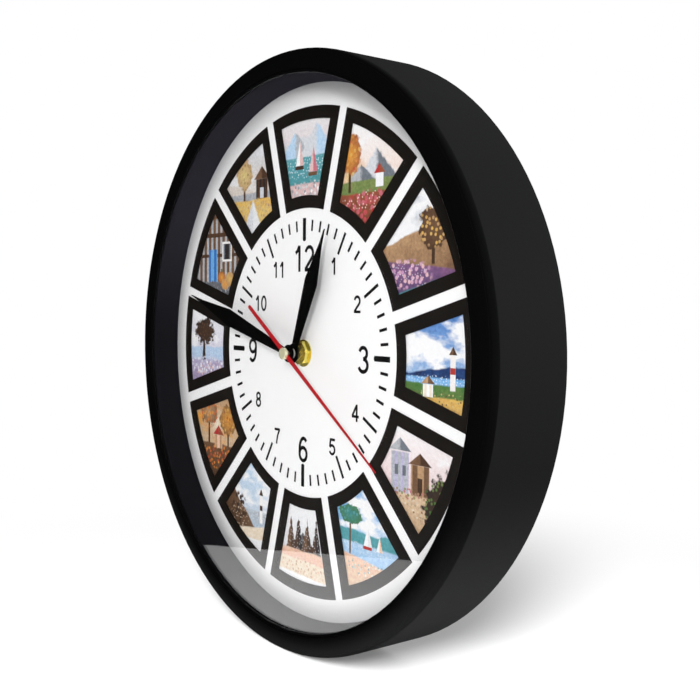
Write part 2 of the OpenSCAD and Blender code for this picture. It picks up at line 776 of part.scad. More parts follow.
// Centre wheel, its pipe and the cannon pinion, which turn once an hour
module centre_wheel() {
    color([0.92, 0.9, 0.84]) upright() wheel(n_centre, m_centre, centre_phase, centre_layer, 3, minute_r, 5);
}

module minute_pipe() {
    color([0.78, 0.66, 0.34]) upright() difference() {
        translate([0, 0, centre_layer - 0.1])
            cylinder(h = minute_z + hand_t + 0.8 - centre_layer + 0.1, r = minute_r);
        translate([0, 0, centre_layer - 1]) cylinder(h = minute_z - centre_layer + 4, r = minute_in);
    }
}

module cannon_pinion() {
    color([0.9, 0.9, 0.86]) upright() gear(n_cannon, m_motion, 0, motion_layer, minute_r);
}

module motion_wheel() {
    color([0.92, 0.9, 0.84]) upright() translate([motion_at[0], motion_at[1], 0]) difference() {
        union() {
            wheel(n_motion, m_motion, motion_phase, motion_layer, 1.9, 0, 4);
            translate([0, 0, motion_layer + gear_t / 2]) cylinder(h = hour_layer - motion_layer, r = 1);
            gear(n_motion_pinion, m_hour, 0, hour_layer);
        }
        translate([0, 0, motion_layer - 1]) cylinder(h = 5, r = arbor_r + run);
    }
}

module hour_wheel() {
    color([0.93, 0.92, 0.88]) upright() difference() {
        union() {
            wheel(n_hour, m_hour, hour_phase, hour_layer, 3.2, 0, 5);
            translate([0, 0, hour_layer]) cylinder(h = hour_z + hand_t + 0.3 - hour_layer, r = hour_r);
        }
        translate([0, 0, hour_layer - 1]) cylinder(h = hour_z - hour_layer + 4, r = hour_in);
    }
}

// Lozenge leaf hand along +y: narrow at the hub, widest past the middle, needle tip,
// with a round hub and a collar behind it
module leaf_hand(length, width, hub_d, hole_r, neck) {
    wide_at = 0.585 * length;
    thin_at = 0.88 * length;
    thin_w = width * 0.2;
    tip_w = 0.4;
    right = [[neck / 2, 0], [width / 2, wide_at], [thin_w / 2, thin_at], [tip_w / 2, length]];
    left = [for (i = [len(right) - 1 : -1 : 0]) [-right[i][0], right[i][1]]];
    difference() {
        union() {
            linear_extrude(hand_t) polygon(concat(right, left));
            cylinder(h = hand_t, r = hub_d / 2);
            translate([0, 0, -0.7]) cylinder(h = 0.7 + eps, r = hole_r + 0.9);
        }
        translate([0, 0, -1]) cylinder(h = hand_t + 2, r = hole_r + eps);
    }
}

module hour_hand() {
    color([0.05, 0.05, 0.05]) upright() translate([0, 0, hour_z]) rotate([0, 0, -hour_angle])
        leaf_hand(hour_l, hour_w, hour_hub_d, hour_r, 4);
}

module minute_hand() {
    color([0.05, 0.05, 0.05]) upright() translate([0, 0, minute_z]) rotate([0, 0, -minute_angle])
        leaf_hand(minute_l, minute_w, minute_hub_d, minute_r, 3.4);
}

// Second hand: a slim taper one way and a round-ended tail the other way
tail_w = 2;
module second_hand() {
    root = 1.2;
    tip = 0.35;
    tail_r = tail_w / 2;
    color([0.75, 0.08, 0.1]) upright() at_angle(0, -second_angle, second_z) difference() {
        union() {
            linear_extrude(hand_t) polygon([[-root, 0], [root, 0], [tip, second_l], [-tip, second_l]]);
            linear_extrude(hand_t)
                polygon([[-root, 0], [root, 0], [tail_r, tail_r - tail_l], [-tail_r, tail_r - tail_l]]);
            translate([0, tail_r - tail_l, 0]) cylinder(h = hand_t, r = tail_r);
            cylinder(h = hand_t, r = 2 * root);
            translate([0, 0, -0.7]) cylinder(h = 0.7 + eps, r = 1.1);
        }
        translate([0, 0, -3]) cylinder(h = 6, r = second_r);
    }
}

module second_hand_cap() {
    round_r = 0.5;
    color([0.85, 0.8, 0.62]) upright() translate([0, 0, second_z + hand_t]) rotate_extrude()
        polygon(concat([[0, 0], [cap_d / 2, 0]], [for (a = [0 : 22.5 : 90])
            [cap_d / 2 - round_r + round_r * cos(a), cap_h - round_r + round_r * sin(a)]], [[0, cap_h]]));
}

// Battery cell with its button at the right-hand end
button_r = 2.75;
button_l = 1.2;
cell_x = -cell_l / 2 - 0.4;
module battery_cell() {
    color([0.3, 0.32, 0.35]) upright() translate([cell_x, cell_y, cell_z]) rotate([0, 90, 0]) {
        cylinder(h = cell_l, r = cell_d / 2);
        translate([0, 0, cell_l - eps]) cylinder(h = button_l + eps, r = button_r);
    }
}

contact_t = 0.3;
contact_w = 7;
module contact_strip(x, tail_x) {
    translate([x, cell_y - contact_w / 2, cell_z - 5]) cube([contact_t, contact_w, floor_in - cell_z + 5]);
    translate([min(x, tail_x), cell_y - contact_w / 2, floor_in - contact_t])
        cube([abs(tail_x - x) + contact_t, contact_w, contact_t]);
}

module positive_contact() {
    x = cell_x + cell_l + button_l + 0.1;
    color([0.8, 0.8, 0.78]) upright() contact_strip(x, half - mv_wall - contact_t);
}

module negative_contact() {
    x = cell_x - 0.1 - contact_t;
    color([0.8, 0.8, 0.78]) upright() contact_strip(x, -half + mv_wall);
}

// Circuit board with its chip and crystal, on two pegs of the front floor
board = [17 * unit, 9.5 * unit, 0.8];
board_at = [half - mv_wall - 1 - board[0], half - mv_wall - 1 - board[1]];
chip_at = board_at + unit * [5, 5.5];
crystal_at = board_at + unit * [10, 3];
crystal_l = 6 * unit;
crystal_r = 1;
module circuit_board() {
    color([0.1, 0.35, 0.2]) upright() {
        translate([board_at[0], board_at[1], board_z]) cube(board);
        for (x = [2.5, board[0] - 2.5])
            translate([board_at[0] + x, board_at[1] + board[1] / 2, board_z + board[2] - eps])
                cylinder(h = floor_in - board_z - board[2] + eps, r = 0.9);
    }
}

module control_chip() {
    color([0.05, 0.05, 0.05]) upright() translate([chip_at[0], chip_at[1], board_z - 1.2])
        cylinder(h = 1.2, r1 = 2.4, r2 = 3);
}

module quartz_crystal() {
    color([0.82, 0.83, 0.85]) upright() translate([crystal_at[0], crystal_at[1], board_z - crystal_r])
        rotate([0, 90, 0]) cylinder(h = crystal_l, r = crystal_r);
}

module setting_knob() {
    knob_z = mv_back - 2.4;
    color([0.2, 0.2, 0.21]) upright() translate([knob_at[0], knob_at[1], 0]) {
        translate([0, 0, knob_z]) linear_extrude(2.1)
            polygon([for (i = [0 : 71]) polar(knob_d / 2 - (i % 3 == 0 ? 0.4 : 0), i * 5)]);
        translate([0, 0, knob_z - 0.4]) cylinder(h = 0.5, r1 = knob_d / 2 - 2.4, r2 = knob_d / 2 - 2);
        translate([0, 0, knob_z + 1]) cylinder(h = floor_in + 0.4 - knob_z - 1, r = knob_arbor_r);
        gear(n_knob, m_motion, knob_phase, motion_layer);
    }
}

case_ring();
glass_lens();
sloped_ring();
dial();
window_frames();
picture_prints();
back_plate();
back_plate_screws();
hanger_bracket();
hanger_screws();
movement_case();
movement_cover();
middle_plate();
threaded_bush();
hex_nut();
nut_washer();
rubber_washer();
stator();
coil_bobbin();
coil_winding();
circuit_board();
control_chip();
quartz_crystal();
positive_contact();
negative_contact();
battery_cell();
rotor_magnet();
rotor_pinion();
intermediate_wheel();
seconds_wheel();
seconds_arbor();
third_wheel();
centre_wheel();
minute_pipe();
cannon_pinion();
motion_wheel();
hour_wheel();
hour_hand();
minute_hand();
second_hand();
second_hand_cap();
setting_knob();
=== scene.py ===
# %% [markdown]
# Round wall clock with twelve picture windows.
#
# This script dresses a clock whose solids already exist: a deep black drum case, a glass, a white
# dial, three hands and a quartz movement with its gears. The solids stay where they are. The script
# gives every one of them a finish, prints the dial, and sets up a small studio round it.
# The clock faces -Y, +X is three o'clock and +Z is twelve o'clock. Everything is in metres.

# %% Load the frame
import math

import bmesh
import bpy
from mathutils import Euler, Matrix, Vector


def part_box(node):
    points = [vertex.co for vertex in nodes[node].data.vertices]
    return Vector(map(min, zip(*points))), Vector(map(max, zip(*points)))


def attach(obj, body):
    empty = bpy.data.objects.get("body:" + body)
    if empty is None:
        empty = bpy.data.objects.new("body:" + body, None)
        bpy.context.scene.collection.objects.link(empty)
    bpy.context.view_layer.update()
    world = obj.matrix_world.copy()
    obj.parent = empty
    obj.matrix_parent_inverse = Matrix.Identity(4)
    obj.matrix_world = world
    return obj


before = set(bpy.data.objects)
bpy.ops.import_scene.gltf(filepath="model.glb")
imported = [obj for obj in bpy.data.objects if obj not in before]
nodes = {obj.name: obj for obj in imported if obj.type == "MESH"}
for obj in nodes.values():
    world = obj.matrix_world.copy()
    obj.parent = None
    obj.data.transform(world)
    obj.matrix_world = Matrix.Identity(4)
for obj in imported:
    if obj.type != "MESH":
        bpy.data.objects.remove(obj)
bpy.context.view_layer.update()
MM = 0.001

# %% [markdown]
# A few places come from the solids themselves, so the prints stay on the dial if the clock changes:
# the dial's face, the front of the drum, and its foot, which also tells the drum's radius.

# %% Read the places that the prints and the studio need
dial_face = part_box("dial")[0].y
drum_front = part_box("case_ring")[0].y
drum_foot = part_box("case_ring")[0].z
drum_radius = -drum_foot
print("dial face at y =", round(dial_face / MM, 2), "mm, drum foot at z =", round(drum_foot / MM, 2), "mm")

# %% [markdown]
# The camera stands to the right of the clock and looks at it almost edge on, so the deep side of
# the drum shows. Its place, turn and focal length were worked out from the ellipses of the drum's
# front and rear rims.

# %% Camera
CAMERA_AT = (0.4202, -0.3217, 0.0257)
CAMERA_TURN = (87.33, -0.53, 52.34)
CAMERA_LENS = 51.43
SENSOR_WIDTH = 36.0
CLIP_START = 0.01

camera_data = bpy.data.cameras.new("camera")
camera_data.lens = CAMERA_LENS
camera_data.sensor_width = SENSOR_WIDTH
camera_data.clip_start = CLIP_START
camera = bpy.data.objects.new("camera", camera_data)
camera.location = CAMERA_AT
camera.rotation_euler = Euler([math.radians(angle) for angle in CAMERA_TURN])
bpy.context.scene.collection.objects.link(camera)
bpy.context.scene.camera = camera
print("camera ready, lens", CAMERA_LENS, "mm")

# %% [markdown]
# Light and finishes are built from nodes. In the node editor one drags nodes and wires. A script
# says the same in calls. Each input of a new node takes a plain value or the output of another
# node, so that one line reads like one node with its wires.

# %% Node helpers
def feed(tree, socket, value):
    """Wires an input to another node's output, or gives it a plain value."""
    if isinstance(value, bpy.types.NodeSocket):
        tree.links.new(value, socket)
    elif value is not None:
        socket.default_value = value


def add_node(tree, kind, *feeds, **values):
    """Adds a node. Values set its properties and inputs by name, and feeds its inputs in order."""
    node = tree.nodes.new(kind)
    for key, value in values.items():
        name = key.replace("_", " ")
        if name in node.inputs:
            feed(tree, node.inputs[name], value)
        else:
            setattr(node, key, value)
    for socket, value in zip(node.inputs, feeds):
        feed(tree, socket, value)
    return node


def calc(tree, operation, *terms, clamp=False):
    """A Math node on sockets or numbers."""
    return add_node(tree, "ShaderNodeMath", *terms, operation=operation, use_clamp=clamp).outputs[0]


def ramp(tree, value, start, end, low=0.0, high=1.0, kind="SMOOTHSTEP"):
    """A Map Range node that goes from low, where the value is at start, to high at end."""
    node = add_node(tree, "ShaderNodeMapRange", interpolation_type=kind, Value=value,
                    From_Min=start, From_Max=end, To_Min=low, To_Max=high)
    return node.outputs[0]


print("node helpers ready")

# %% [markdown]
# Product photographs of black things on white are lit with big soft lamps and dark cards: the
# lamps light the dial, and the cards are what the black gloss mirrors. The world does both jobs
# here. The camera sees plain white, soft light falls from all sides, and a mirror sees a dim room
# that is darkest on one side and dims again below. Light that a pane's back face mirrors leaves
# through the pane, so such rays see the dim room too.

# %% World
ROOM_LIGHT = 0.5
ROOM_DARK, ROOM_GLOW = 0.003, 0.45
ROOM_TINT = (0.96, 0.98, 1.0, 1)
DARK_SIDE = (-0.79, -0.61, 0.0)
DARK_AT, GLOW_AT = 0.45, -0.8
FLOOR_FROM, FLOOR_SHARE = -0.5, 0.3
WHITE = (1, 1, 1, 1)

world = bpy.data.worlds.new("studio")
world.use_nodes = True
bpy.context.scene.world = world
tree = world.node_tree
tree.nodes.clear()
rays = add_node(tree, "ShaderNodeLightPath").outputs
direction = add_node(tree, "ShaderNodeTexCoord").outputs["Generated"]
toward = add_node(tree, "ShaderNodeVectorMath", direction, DARK_SIDE, operation="DOT_PRODUCT")
height = add_node(tree, "ShaderNodeSeparateXYZ", direction).outputs["Z"]
room = ramp(tree, toward.outputs["Value"], DARK_AT, GLOW_AT, ROOM_DARK, ROOM_GLOW)
room = calc(tree, "MULTIPLY", room, ramp(tree, height, FLOOR_FROM, 0.0, FLOOR_SHARE))
seen = add_node(tree, "ShaderNodeBackground", Color=WHITE, Strength=1.0)
soft = add_node(tree, "ShaderNodeBackground", Color=WHITE, Strength=ROOM_LIGHT)
dim = add_node(tree, "ShaderNodeBackground", Color=ROOM_TINT, Strength=room)
mirrored = calc(tree, "MAXIMUM", rays["Is Glossy Ray"], rays["Is Transmission Ray"])
unseen = add_node(tree, "ShaderNodeMixShader", mirrored, soft.outputs[0], dim.outputs[0])
sky = add_node(tree, "ShaderNodeMixShader", rays["Is Camera Ray"], unseen.outputs[0], seen.outputs[0])
add_node(tree, "ShaderNodeOutputWorld", sky.outputs[0])
bpy.context.scene.view_settings.view_transform = "Standard"
print("world ready:", len(tree.nodes), "nodes")

# %% [markdown]
# The hands' shadows show only as a narrow rim on their right, so the main lamp shines from nearly
# where the camera looks from. A weaker, wider one fills the dial from the front, and a third shows
# the back of the clock. The floor has a higher lamp of its own, so that the drum's soft shadow
# falls behind it and peeks out on the right.

# %% Lamps
def lamp(name, at, power, size, aim=(0, 0, 0)):
    """A round area lamp that mirrors don't see."""
    data = bpy.data.lights.new(name, "AREA")
    data.energy = power
    data.shape = "DISK"
    data.size = size
    obj = bpy.data.objects.new(name, data)
    obj.location = at
    obj.rotation_euler = (Vector(aim) - Vector(at)).to_track_quat("-Z", "Y").to_euler()
    bpy.context.scene.collection.objects.link(obj)
    obj.visible_glossy = False
    return obj


CLOCK_LAMPS = {
    "key_lamp": dict(at=(1.05, -1.12, 0.42), power=15.6, size=0.35),
    "fill_lamp": dict(at=(0.8, -1.3, 0.3), power=1.5, size=1.2),
    "back_lamp": dict(at=(0.75, 1.3, 0.4), power=20.0, size=0.9),
}
FLOOR_LAMP = dict(at=(1.0, -1.0, 0.62), power=70.0, size=0.5)

clock_lamps = [lamp(name, **values) for name, values in CLOCK_LAMPS.items()]
floor_lamp = lamp("floor_lamp", **FLOOR_LAMP, aim=(0, 0, drum_foot))
print("lamps:", len(clock_lamps) + 1)

# %% [markdown]
# Materials share a few node groups. A group is made once with named sockets and placed in each
# material with its own values, so that one mend serves them all.

# %% Group helpers
COLOUR, VALUE, VECTOR = "NodeSocketColor", "NodeSocketFloat", "NodeSocketVector"
COLOUR_FACTOR, COLOUR_A, COLOUR_B, COLOUR_RESULT = 0, 6, 7, 2


def add_sockets(tree, inputs, outputs):
    """Gives a tree its named sockets and returns the ends that they show up on."""
    for label, kind, value in inputs:
        socket = tree.interface.new_socket(name=label, in_out="INPUT", socket_type=kind)
        if value is not None:
            socket.default_value = value
    for label, kind in outputs:
        tree.interface.new_socket(name=label, in_out="OUTPUT", socket_type=kind)
    return add_node(tree, "NodeGroupInput").outputs, add_node(tree, "NodeGroupOutput").inputs


def new_group(name, inputs, outputs=(("Colour", COLOUR),)):
    """Makes a shader node group and returns it with its ends."""
    group = bpy.data.node_groups.new(name, "ShaderNodeTree")
    return group, *add_sockets(group, inputs, outputs)


def mix_colour(tree, factor, a, b, blend="MIX"):
    """Mixes two colours, each a socket or a tuple."""
    node = add_node(tree, "ShaderNodeMix", data_type="RGBA", blend_type=blend, clamp_factor=True)
    for place, value in ((COLOUR_FACTOR, factor), (COLOUR_A, a), (COLOUR_B, b)):
        feed(tree, node.inputs[place], value)
    return node.outputs[COLOUR_RESULT]


print("group helpers ready")

# %% [markdown]
# The first group is the fine grain of a moulded or painted surface: a small bump and a small change
# of roughness. An image could show it, but it would need a UV map on every piece. Noise on the
# piece's own coordinates needs none, and stays put when the piece moves.

# %% Group: surface grain
FINE_DETAIL, DUST_SCALE, DUST_DETAIL = 3.0, 28.0, 4.0
BUMP_HEIGHT = 0.2 * MM
DUST_GREY = (0.6, 0.6, 0.6, 1)

grain_group, given, out = new_group(
    "surface_grain",
    [("Colour", COLOUR, (0.5, 0.5, 0.5, 1)), ("Scale", VALUE, 600.0), ("Depth", VALUE, 0.1),
     ("Roughness", VALUE, 0.4), ("Spread", VALUE, 0.08), ("Dust", VALUE, 0.02)],
    [("Colour", COLOUR), ("Roughness", VALUE), ("Normal", VECTOR)],
)
tree = grain_group
place = add_node(tree, "ShaderNodeTexCoord").outputs["Object"]
fine = add_node(tree, "ShaderNodeTexNoise", Vector=place, Scale=given["Scale"], Detail=FINE_DETAIL)
cloud = add_node(tree, "ShaderNodeTexNoise", Vector=place, Scale=DUST_SCALE, Detail=DUST_DETAIL)
cloud = cloud.outputs["Fac"]
bump = add_node(tree, "ShaderNodeBump", Height=fine.outputs["Fac"], Strength=given["Depth"],
                Distance=BUMP_HEIGHT)
swing = calc(tree, "MULTIPLY", calc(tree, "SUBTRACT", cloud, 0.5), given["Spread"])
dusty = calc(tree, "MULTIPLY", cloud, given["Dust"])
feed(tree, out["Roughness"], calc(tree, "ADD", given["Roughness"], swing))
feed(tree, out["Colour"], mix_colour(tree, dusty, given["Colour"], DUST_GREY))
feed(tree, out["Normal"], bump.outputs["Normal"])
print("group surface_grain ready")

# %% [markdown]
# Most finishes are then one short call: a Principled shader with its constants on its own sockets,
# and the grain group for what changes over the surface.

# %% Finish functions
def new_material(name):
    """A material with its tree and its Principled shader."""
    material = bpy.data.materials.new(name)
    material.use_nodes = True
    return material, material.node_tree, material.node_tree.nodes["Principled BSDF"]


def add_grain(tree, shader, **values):
    """Places the grain group and wires it to the shader."""
    group = add_node(tree, "ShaderNodeGroup", node_tree=grain_group, **values).outputs
    for label, target in (("Colour", "Base Color"), ("Roughness", "Roughness"), ("Normal", "Normal")):
        feed(tree, shader.inputs[target], group[label])


def finish(name, colour, roughness, grain=600.0, depth=0.08, spread=0.06, dust=0.0, **constants):
    """A material with surface grain; constants are Principled inputs, such as Metallic."""
    material, tree, shader = new_material(name)
    add_grain(tree, shader, Colour=(*colour, 1), Scale=grain, Depth=depth, Roughness=roughness,
              Spread=spread, Dust=dust)
    for key, value in constants.items():
        shader.inputs[key.replace("_", " ")].default_value = value
    material.diffuse_color = (*colour, 1)
    return material


def parts_of(material):
    """A finish's tree, its shader's inputs and its grain group's outputs."""
    tree = material.node_tree
    group = next(node for node in tree.nodes if node.bl_idname == "ShaderNodeGroup")
    return tree, tree.nodes["Principled BSDF"].inputs, group.outputs


def dress(material, *names):
    """Gives CAD nodes a finish."""
    for name in names:
        mesh = nodes[name].data
        mesh.materials.clear()
        mesh.materials.append(material)
    print(material.name, "on", ", ".join(names))


print("finish functions ready")

# %% [markdown]
# Where a finish changes over a piece, it follows the piece's own coordinates: how far a point lies
# along one of them, or how far from the hands' axis, which runs along Y. A mask then tells where
# such a measure is larger than another. Its edge is soft or sharp, by the number it is multiplied
# with before it is clamped between nought and one.

# %% Place and mask helpers
def split(tree, vector):
    """A vector's three parts, by their letters."""
    return add_node(tree, "ShaderNodeSeparateXYZ", vector).outputs


def length_of(tree, vector):
    """A vector's length."""
    return add_node(tree, "ShaderNodeVectorMath", vector, operation="LENGTH").outputs["Value"]


def object_place(tree):
    """A point's place on its piece."""
    return add_node(tree, "ShaderNodeTexCoord").outputs["Object"]


def from_axis(tree):
    """The distance from the hands' axis."""
    flat = add_node(tree, "ShaderNodeVectorMath", object_place(tree), (1, 0, 1), operation="MULTIPLY")
    return length_of(tree, flat.outputs[0])


def larger(tree, a, b, sharpness):
    """A mask that is on where a is larger than b."""
    return calc(tree, "MULTIPLY", calc(tree, "SUBTRACT", a, b), sharpness, clamp=True)


print("place and mask helpers ready")

# %% [markdown]
# The drum is one moulding of black plastic. Its front is polished, so it mirrors the dark room and
# stays nearly black, but its lower shoulder is coloured a lighter grey, a painted light for the light
# from the table. Its side is satin, and the soft light turns it dark grey; towards the foot it is
# coloured lighter, a painted light too. The solid has no edge of its own for each of these borders,
# so one material draws them all from a point's place.

# %% Case
BEZEL_BLACK, SHOULDER_PAINTED_LIGHT = (0.0019, 0.0019, 0.0021), (0.013, 0.013, 0.013, 1)
SIDE_GREY, SIDE_FOOT_PAINTED_LIGHT = (0.0086, 0.0086, 0.0089, 1), (0.03, 0.03, 0.0305, 1)
CREASE, CREASE_WIDTH = drum_front + 4.5 * MM, 0.6 * MM
SHOULDER_FROM, SHOULDER_TO = drum_radius - 11 * MM, drum_radius - 0.5 * MM
PAINTED_LIGHT_FROM, PAINTED_LIGHT_TO = -40 * MM, -130 * MM
SIDE_ROUGHER = 0.12


def case_finish():
    """Polished black in front of the crease, satin behind it, with painted light low on the shoulder and the
    side.
    """
    material = finish("case_black", BEZEL_BLACK, 0.3, grain=900.0, depth=0.02, Specular_IOR_Level=0.06)
    tree, shader, grain = parts_of(material)
    parts = split(tree, object_place(tree))
    side = ramp(tree, parts["Y"], CREASE, CREASE + CREASE_WIDTH, kind="LINEAR")
    shoulder = ramp(tree, from_axis(tree), SHOULDER_FROM, SHOULDER_TO)
    # Painted light: the side, and the shoulder with it, are coloured lighter towards the foot.
    low = ramp(tree, parts["Z"], PAINTED_LIGHT_FROM, PAINTED_LIGHT_TO)
    satin = mix_colour(tree, low, SIDE_GREY, SIDE_FOOT_PAINTED_LIGHT)
    # Painted light: the low part of the shoulder is coloured a lighter grey.
    polished = mix_colour(tree, calc(tree, "MULTIPLY", shoulder, low), grain["Colour"], SHOULDER_PAINTED_LIGHT)
    feed(tree, shader["Base Color"], mix_colour(tree, side, polished, satin))
    feed(tree, shader["Roughness"], calc(tree, "MULTIPLY_ADD", side, SIDE_ROUGHER, grain["Roughness"]))
    return material


dress(case_finish(), "case_ring")
dress(finish("back_black", (0.028, 0.028, 0.03), 0.5, grain=1400.0, depth=0.25, dust=0.05), "back_plate")

# %% [markdown]
# The sloped ring between the glass and the dial is a dull slate, coloured a little lighter towards
# the top: a painted light for where the lamps reach it. It has no gloss, so that it doesn't mirror
# the studio.

# %% Ring
RING_LOW, RING_PAINTED_LIGHT = (0.0092, 0.009, 0.0113), (0.0235, 0.0225, 0.029)
RING_LIGHT_RISE = 85 * MM


def ring_finish():
    """Dark slate with a painted light that grows towards the top."""
    material = finish("ring_slate", RING_LOW, 0.5, grain=1200.0, depth=0.05, Specular_IOR_Level=0.0)
    tree, shader, grain = parts_of(material)
    # Painted light: the colour grows lighter with height.
    painted_rise = ramp(tree, split(tree, object_place(tree))["Z"], 0.0, RING_LIGHT_RISE)
    feed(tree, shader["Base Color"], mix_colour(tree, painted_rise, grain["Colour"], (*RING_PAINTED_LIGHT, 1)))
    return material


dress(ring_finish(), "sloped_ring")

# %% [markdown]
# The metal parts are cut, turned or drawn, which leaves fine marks. A fine grain with full Metallic
# stands for them. The nut and its washer are brass under a thin lacquer, so they are a little less
# metallic.

# %% Steel, brass and rubber
def brushed(name, colour, roughness, metallic=1.0):
    """A worked metal."""
    return finish(name, colour, roughness, grain=2600.0, depth=0.12, spread=0.12, Metallic=metallic)


dress(brushed("zinc_steel", (0.56, 0.57, 0.58), 0.32), "hanger_bracket", "back_plate_screws",
      "hanger_screws", "positive_contact", "negative_contact", "quartz_crystal", "seconds_arbor")
dress(brushed("stator_iron", (0.36, 0.36, 0.38), 0.42), "stator")
dress(brushed("magnet_grey", (0.1, 0.1, 0.11), 0.5), "rotor_magnet")
dress(brushed("turned_brass", (0.8, 0.68, 0.15), 0.2, 0.88), "hex_nut", "nut_washer")
dress(brushed("nickel", (0.72, 0.76, 0.68), 0.3), "minute_pipe")
dress(finish("rubber", (0.02, 0.02, 0.02), 0.75, depth=0.2), "rubber_washer")

# %% [markdown]
# The movement's housing is black plastic with a spark-eroded grain, and its gears and bobbin are
# pale acetal. The cover's raised marks are coloured a little paler, a painted highlight on their
# relief. They stand out from the cover towards the wall, so how deep a point lies tells them apart.

# %% Movement, gears and electronics
COVER_FACE = -7.4 * MM
MARK_HIGHLIGHT_GREY = (0.11, 0.11, 0.115, 1)
MARK_EDGE = 20000.0


def housing(name):
    """Black plastic with a coarse grain."""
    return finish(name, (0.035, 0.035, 0.037), 0.42, grain=1800.0, depth=0.3, dust=0.03)


def cover_finish():
    """The housing's plastic, with a painted highlight on the raised marks."""
    material = housing("cover_black")
    tree, shader, grain = parts_of(material)
    # Painted highlight: the raised marks are coloured paler.
    raised = larger(tree, split(tree, object_place(tree))["Y"], COVER_FACE, MARK_EDGE)
    feed(tree, shader["Base Color"], mix_colour(tree, raised, grain["Colour"], MARK_HIGHLIGHT_GREY))
    return material


dress(housing("movement_black"), "movement_case", "setting_knob")
dress(cover_finish(), "movement_cover")
dress(finish("acetal", (0.8, 0.78, 0.7), 0.35, depth=0.04, Subsurface_Weight=0.05),
      "middle_plate", "coil_bobbin", "rotor_pinion", "intermediate_wheel", "seconds_wheel",
      "third_wheel", "centre_wheel", "cannon_pinion", "motion_wheel", "hour_wheel")
dress(finish("epoxy_blob", (0.01, 0.01, 0.01), 0.25), "control_chip")

# %% [markdown]
# Two pieces have fine turns on them: the wire on the coil and the thread on the bush. Modelled
# turns would be thousands of faces that nobody sees. One helper draws them instead, as a sine of
# one coordinate that makes both a bump and a darker colour in the groove, a painted shade.

# %% Wire and thread
TURN_HEIGHT = 0.3 * MM


def turns(material, axis, pitch, depth, groove_shade):
    """Adds fine turns along an axis to a finish, with painted shade in the grooves."""
    tree, shader, grain = parts_of(material)
    along = split(tree, object_place(tree))[axis]
    wave = calc(tree, "SINE", calc(tree, "MULTIPLY", along, 2 * math.pi / pitch))
    height = calc(tree, "MULTIPLY_ADD", wave, 0.5, 0.5)
    bump = add_node(tree, "ShaderNodeBump", Strength=depth, Distance=TURN_HEIGHT, Height=height,
                    Normal=grain["Normal"])
    feed(tree, shader["Normal"], bump.outputs["Normal"])
    # Painted shade: the grooves between the turns are coloured darker.
    feed(tree, shader["Base Color"], mix_colour(tree, height, (*groove_shade, 1), grain["Colour"]))
    return material


brass = brushed("threaded_brass", (0.78, 0.62, 0.18), 0.2)
copper = finish("copper_wire", (0.62, 0.24, 0.09), 0.3, grain=3000.0, depth=0.2, Metallic=1.0)
dress(turns(brass, "Y", 0.5 * MM, 0.5, (0.3, 0.22, 0.05)), "threaded_bush")
dress(turns(copper, "X", 0.3 * MM, 0.6, (0.25, 0.07, 0.02)), "coil_winding")

# %% [markdown]
# The battery cell has a dark wrap with a copper band towards its button, bare steel ends, and a
# plus and a minus printed where they show in the open bay. A label is often an image. Here a few
# masks draw it from where a point lies on the cell, so no file has to be loaded.

# %% Battery cell
CELL_BAND, CELL_BUTTON, CELL_END = 8 * MM, 24.3 * MM, -24.6 * MM
CELL_OUT, CELL_UP = -13.7 * MM, -19.25 * MM
PLUS_AT, MINUS_AT, SIGN_REACH, SIGN_HALF = 16.5 * MM, -18 * MM, 1.8 * MM, 0.4 * MM
BAND_COPPER, END_STEEL, SIGN_WHITE = (0.66, 0.33, 0.13, 1), (0.6, 0.61, 0.62, 1), (0.9, 0.9, 0.9, 1)
SHARP = 9000.0
CELL_METAL = 0.9


def past(tree, value, edge):
    """A sharp mask that is on where the value is past the edge."""
    return larger(tree, value, edge, SHARP)


def away(tree, value, middle):
    """How far the value is from the middle, on either side."""
    return calc(tree, "ABSOLUTE", calc(tree, "SUBTRACT", value, middle))


def neither(tree, a, b):
    """A mask that is on where two others are off."""
    return calc(tree, "SUBTRACT", 1.0, calc(tree, "MAXIMUM", a, b))


def cell_signs(tree, along, outward, up):
    """The plus and the minus, on the side of the cell that faces out of the bay."""
    high, from_plus = away(tree, up, CELL_UP), away(tree, along, PLUS_AT)
    plus = neither(tree, past(tree, calc(tree, "MAXIMUM", from_plus, high), SIGN_REACH),
                   past(tree, calc(tree, "MINIMUM", from_plus, high), SIGN_HALF))
    minus = neither(tree, past(tree, away(tree, along, MINUS_AT), SIGN_REACH), past(tree, high, SIGN_HALF))
    return calc(tree, "MULTIPLY", calc(tree, "MAXIMUM", plus, minus), past(tree, outward, CELL_OUT))


def cell_finish():
    """Wrap, band, ends and signs, each a mask over the one below."""
    material = finish("cell_wrap", (0.022, 0.024, 0.03), 0.28, grain=900.0, depth=0.03, Coat_Weight=0.4)
    tree, shader, grain = parts_of(material)
    parts = split(tree, object_place(tree))
    along = parts["X"]
    band = past(tree, along, CELL_BAND)
    low_end = calc(tree, "SUBTRACT", 1.0, past(tree, along, CELL_END))
    ends = calc(tree, "MAXIMUM", past(tree, along, CELL_BUTTON), low_end)
    signs = cell_signs(tree, along, parts["Y"], parts["Z"])
    colour = mix_colour(tree, band, grain["Colour"], BAND_COPPER)
    colour = mix_colour(tree, ends, colour, END_STEEL)
    bare = calc(tree, "MULTIPLY", calc(tree, "MAXIMUM", band, ends), CELL_METAL)
    feed(tree, shader["Base Color"], mix_colour(tree, signs, colour, SIGN_WHITE))
    feed(tree, shader["Metallic"], calc(tree, "SUBTRACT", bare, signs, clamp=True))
    return material


dress(cell_finish(), "battery_cell")

# %% [markdown]
# The circuit board shows its copper under the green lacquer as paler lines, and a few tinned dots.
# The joints of a brick texture give the lines, and the cells of a Voronoi texture the dots.

# %% Circuit board
TRACK_GREEN, TIN = (0.06, 0.3, 0.12, 1), (0.75, 0.75, 0.72, 1)
TRACK_SCALE, TRACK_WIDTH, TRACK_LENGTH, TRACK_PITCH = 420.0, 0.06, 1.7, 0.5
DOT_SCALE = 380.0
DOT_RADIUS, DOT_EDGE = 0.16, 30.0


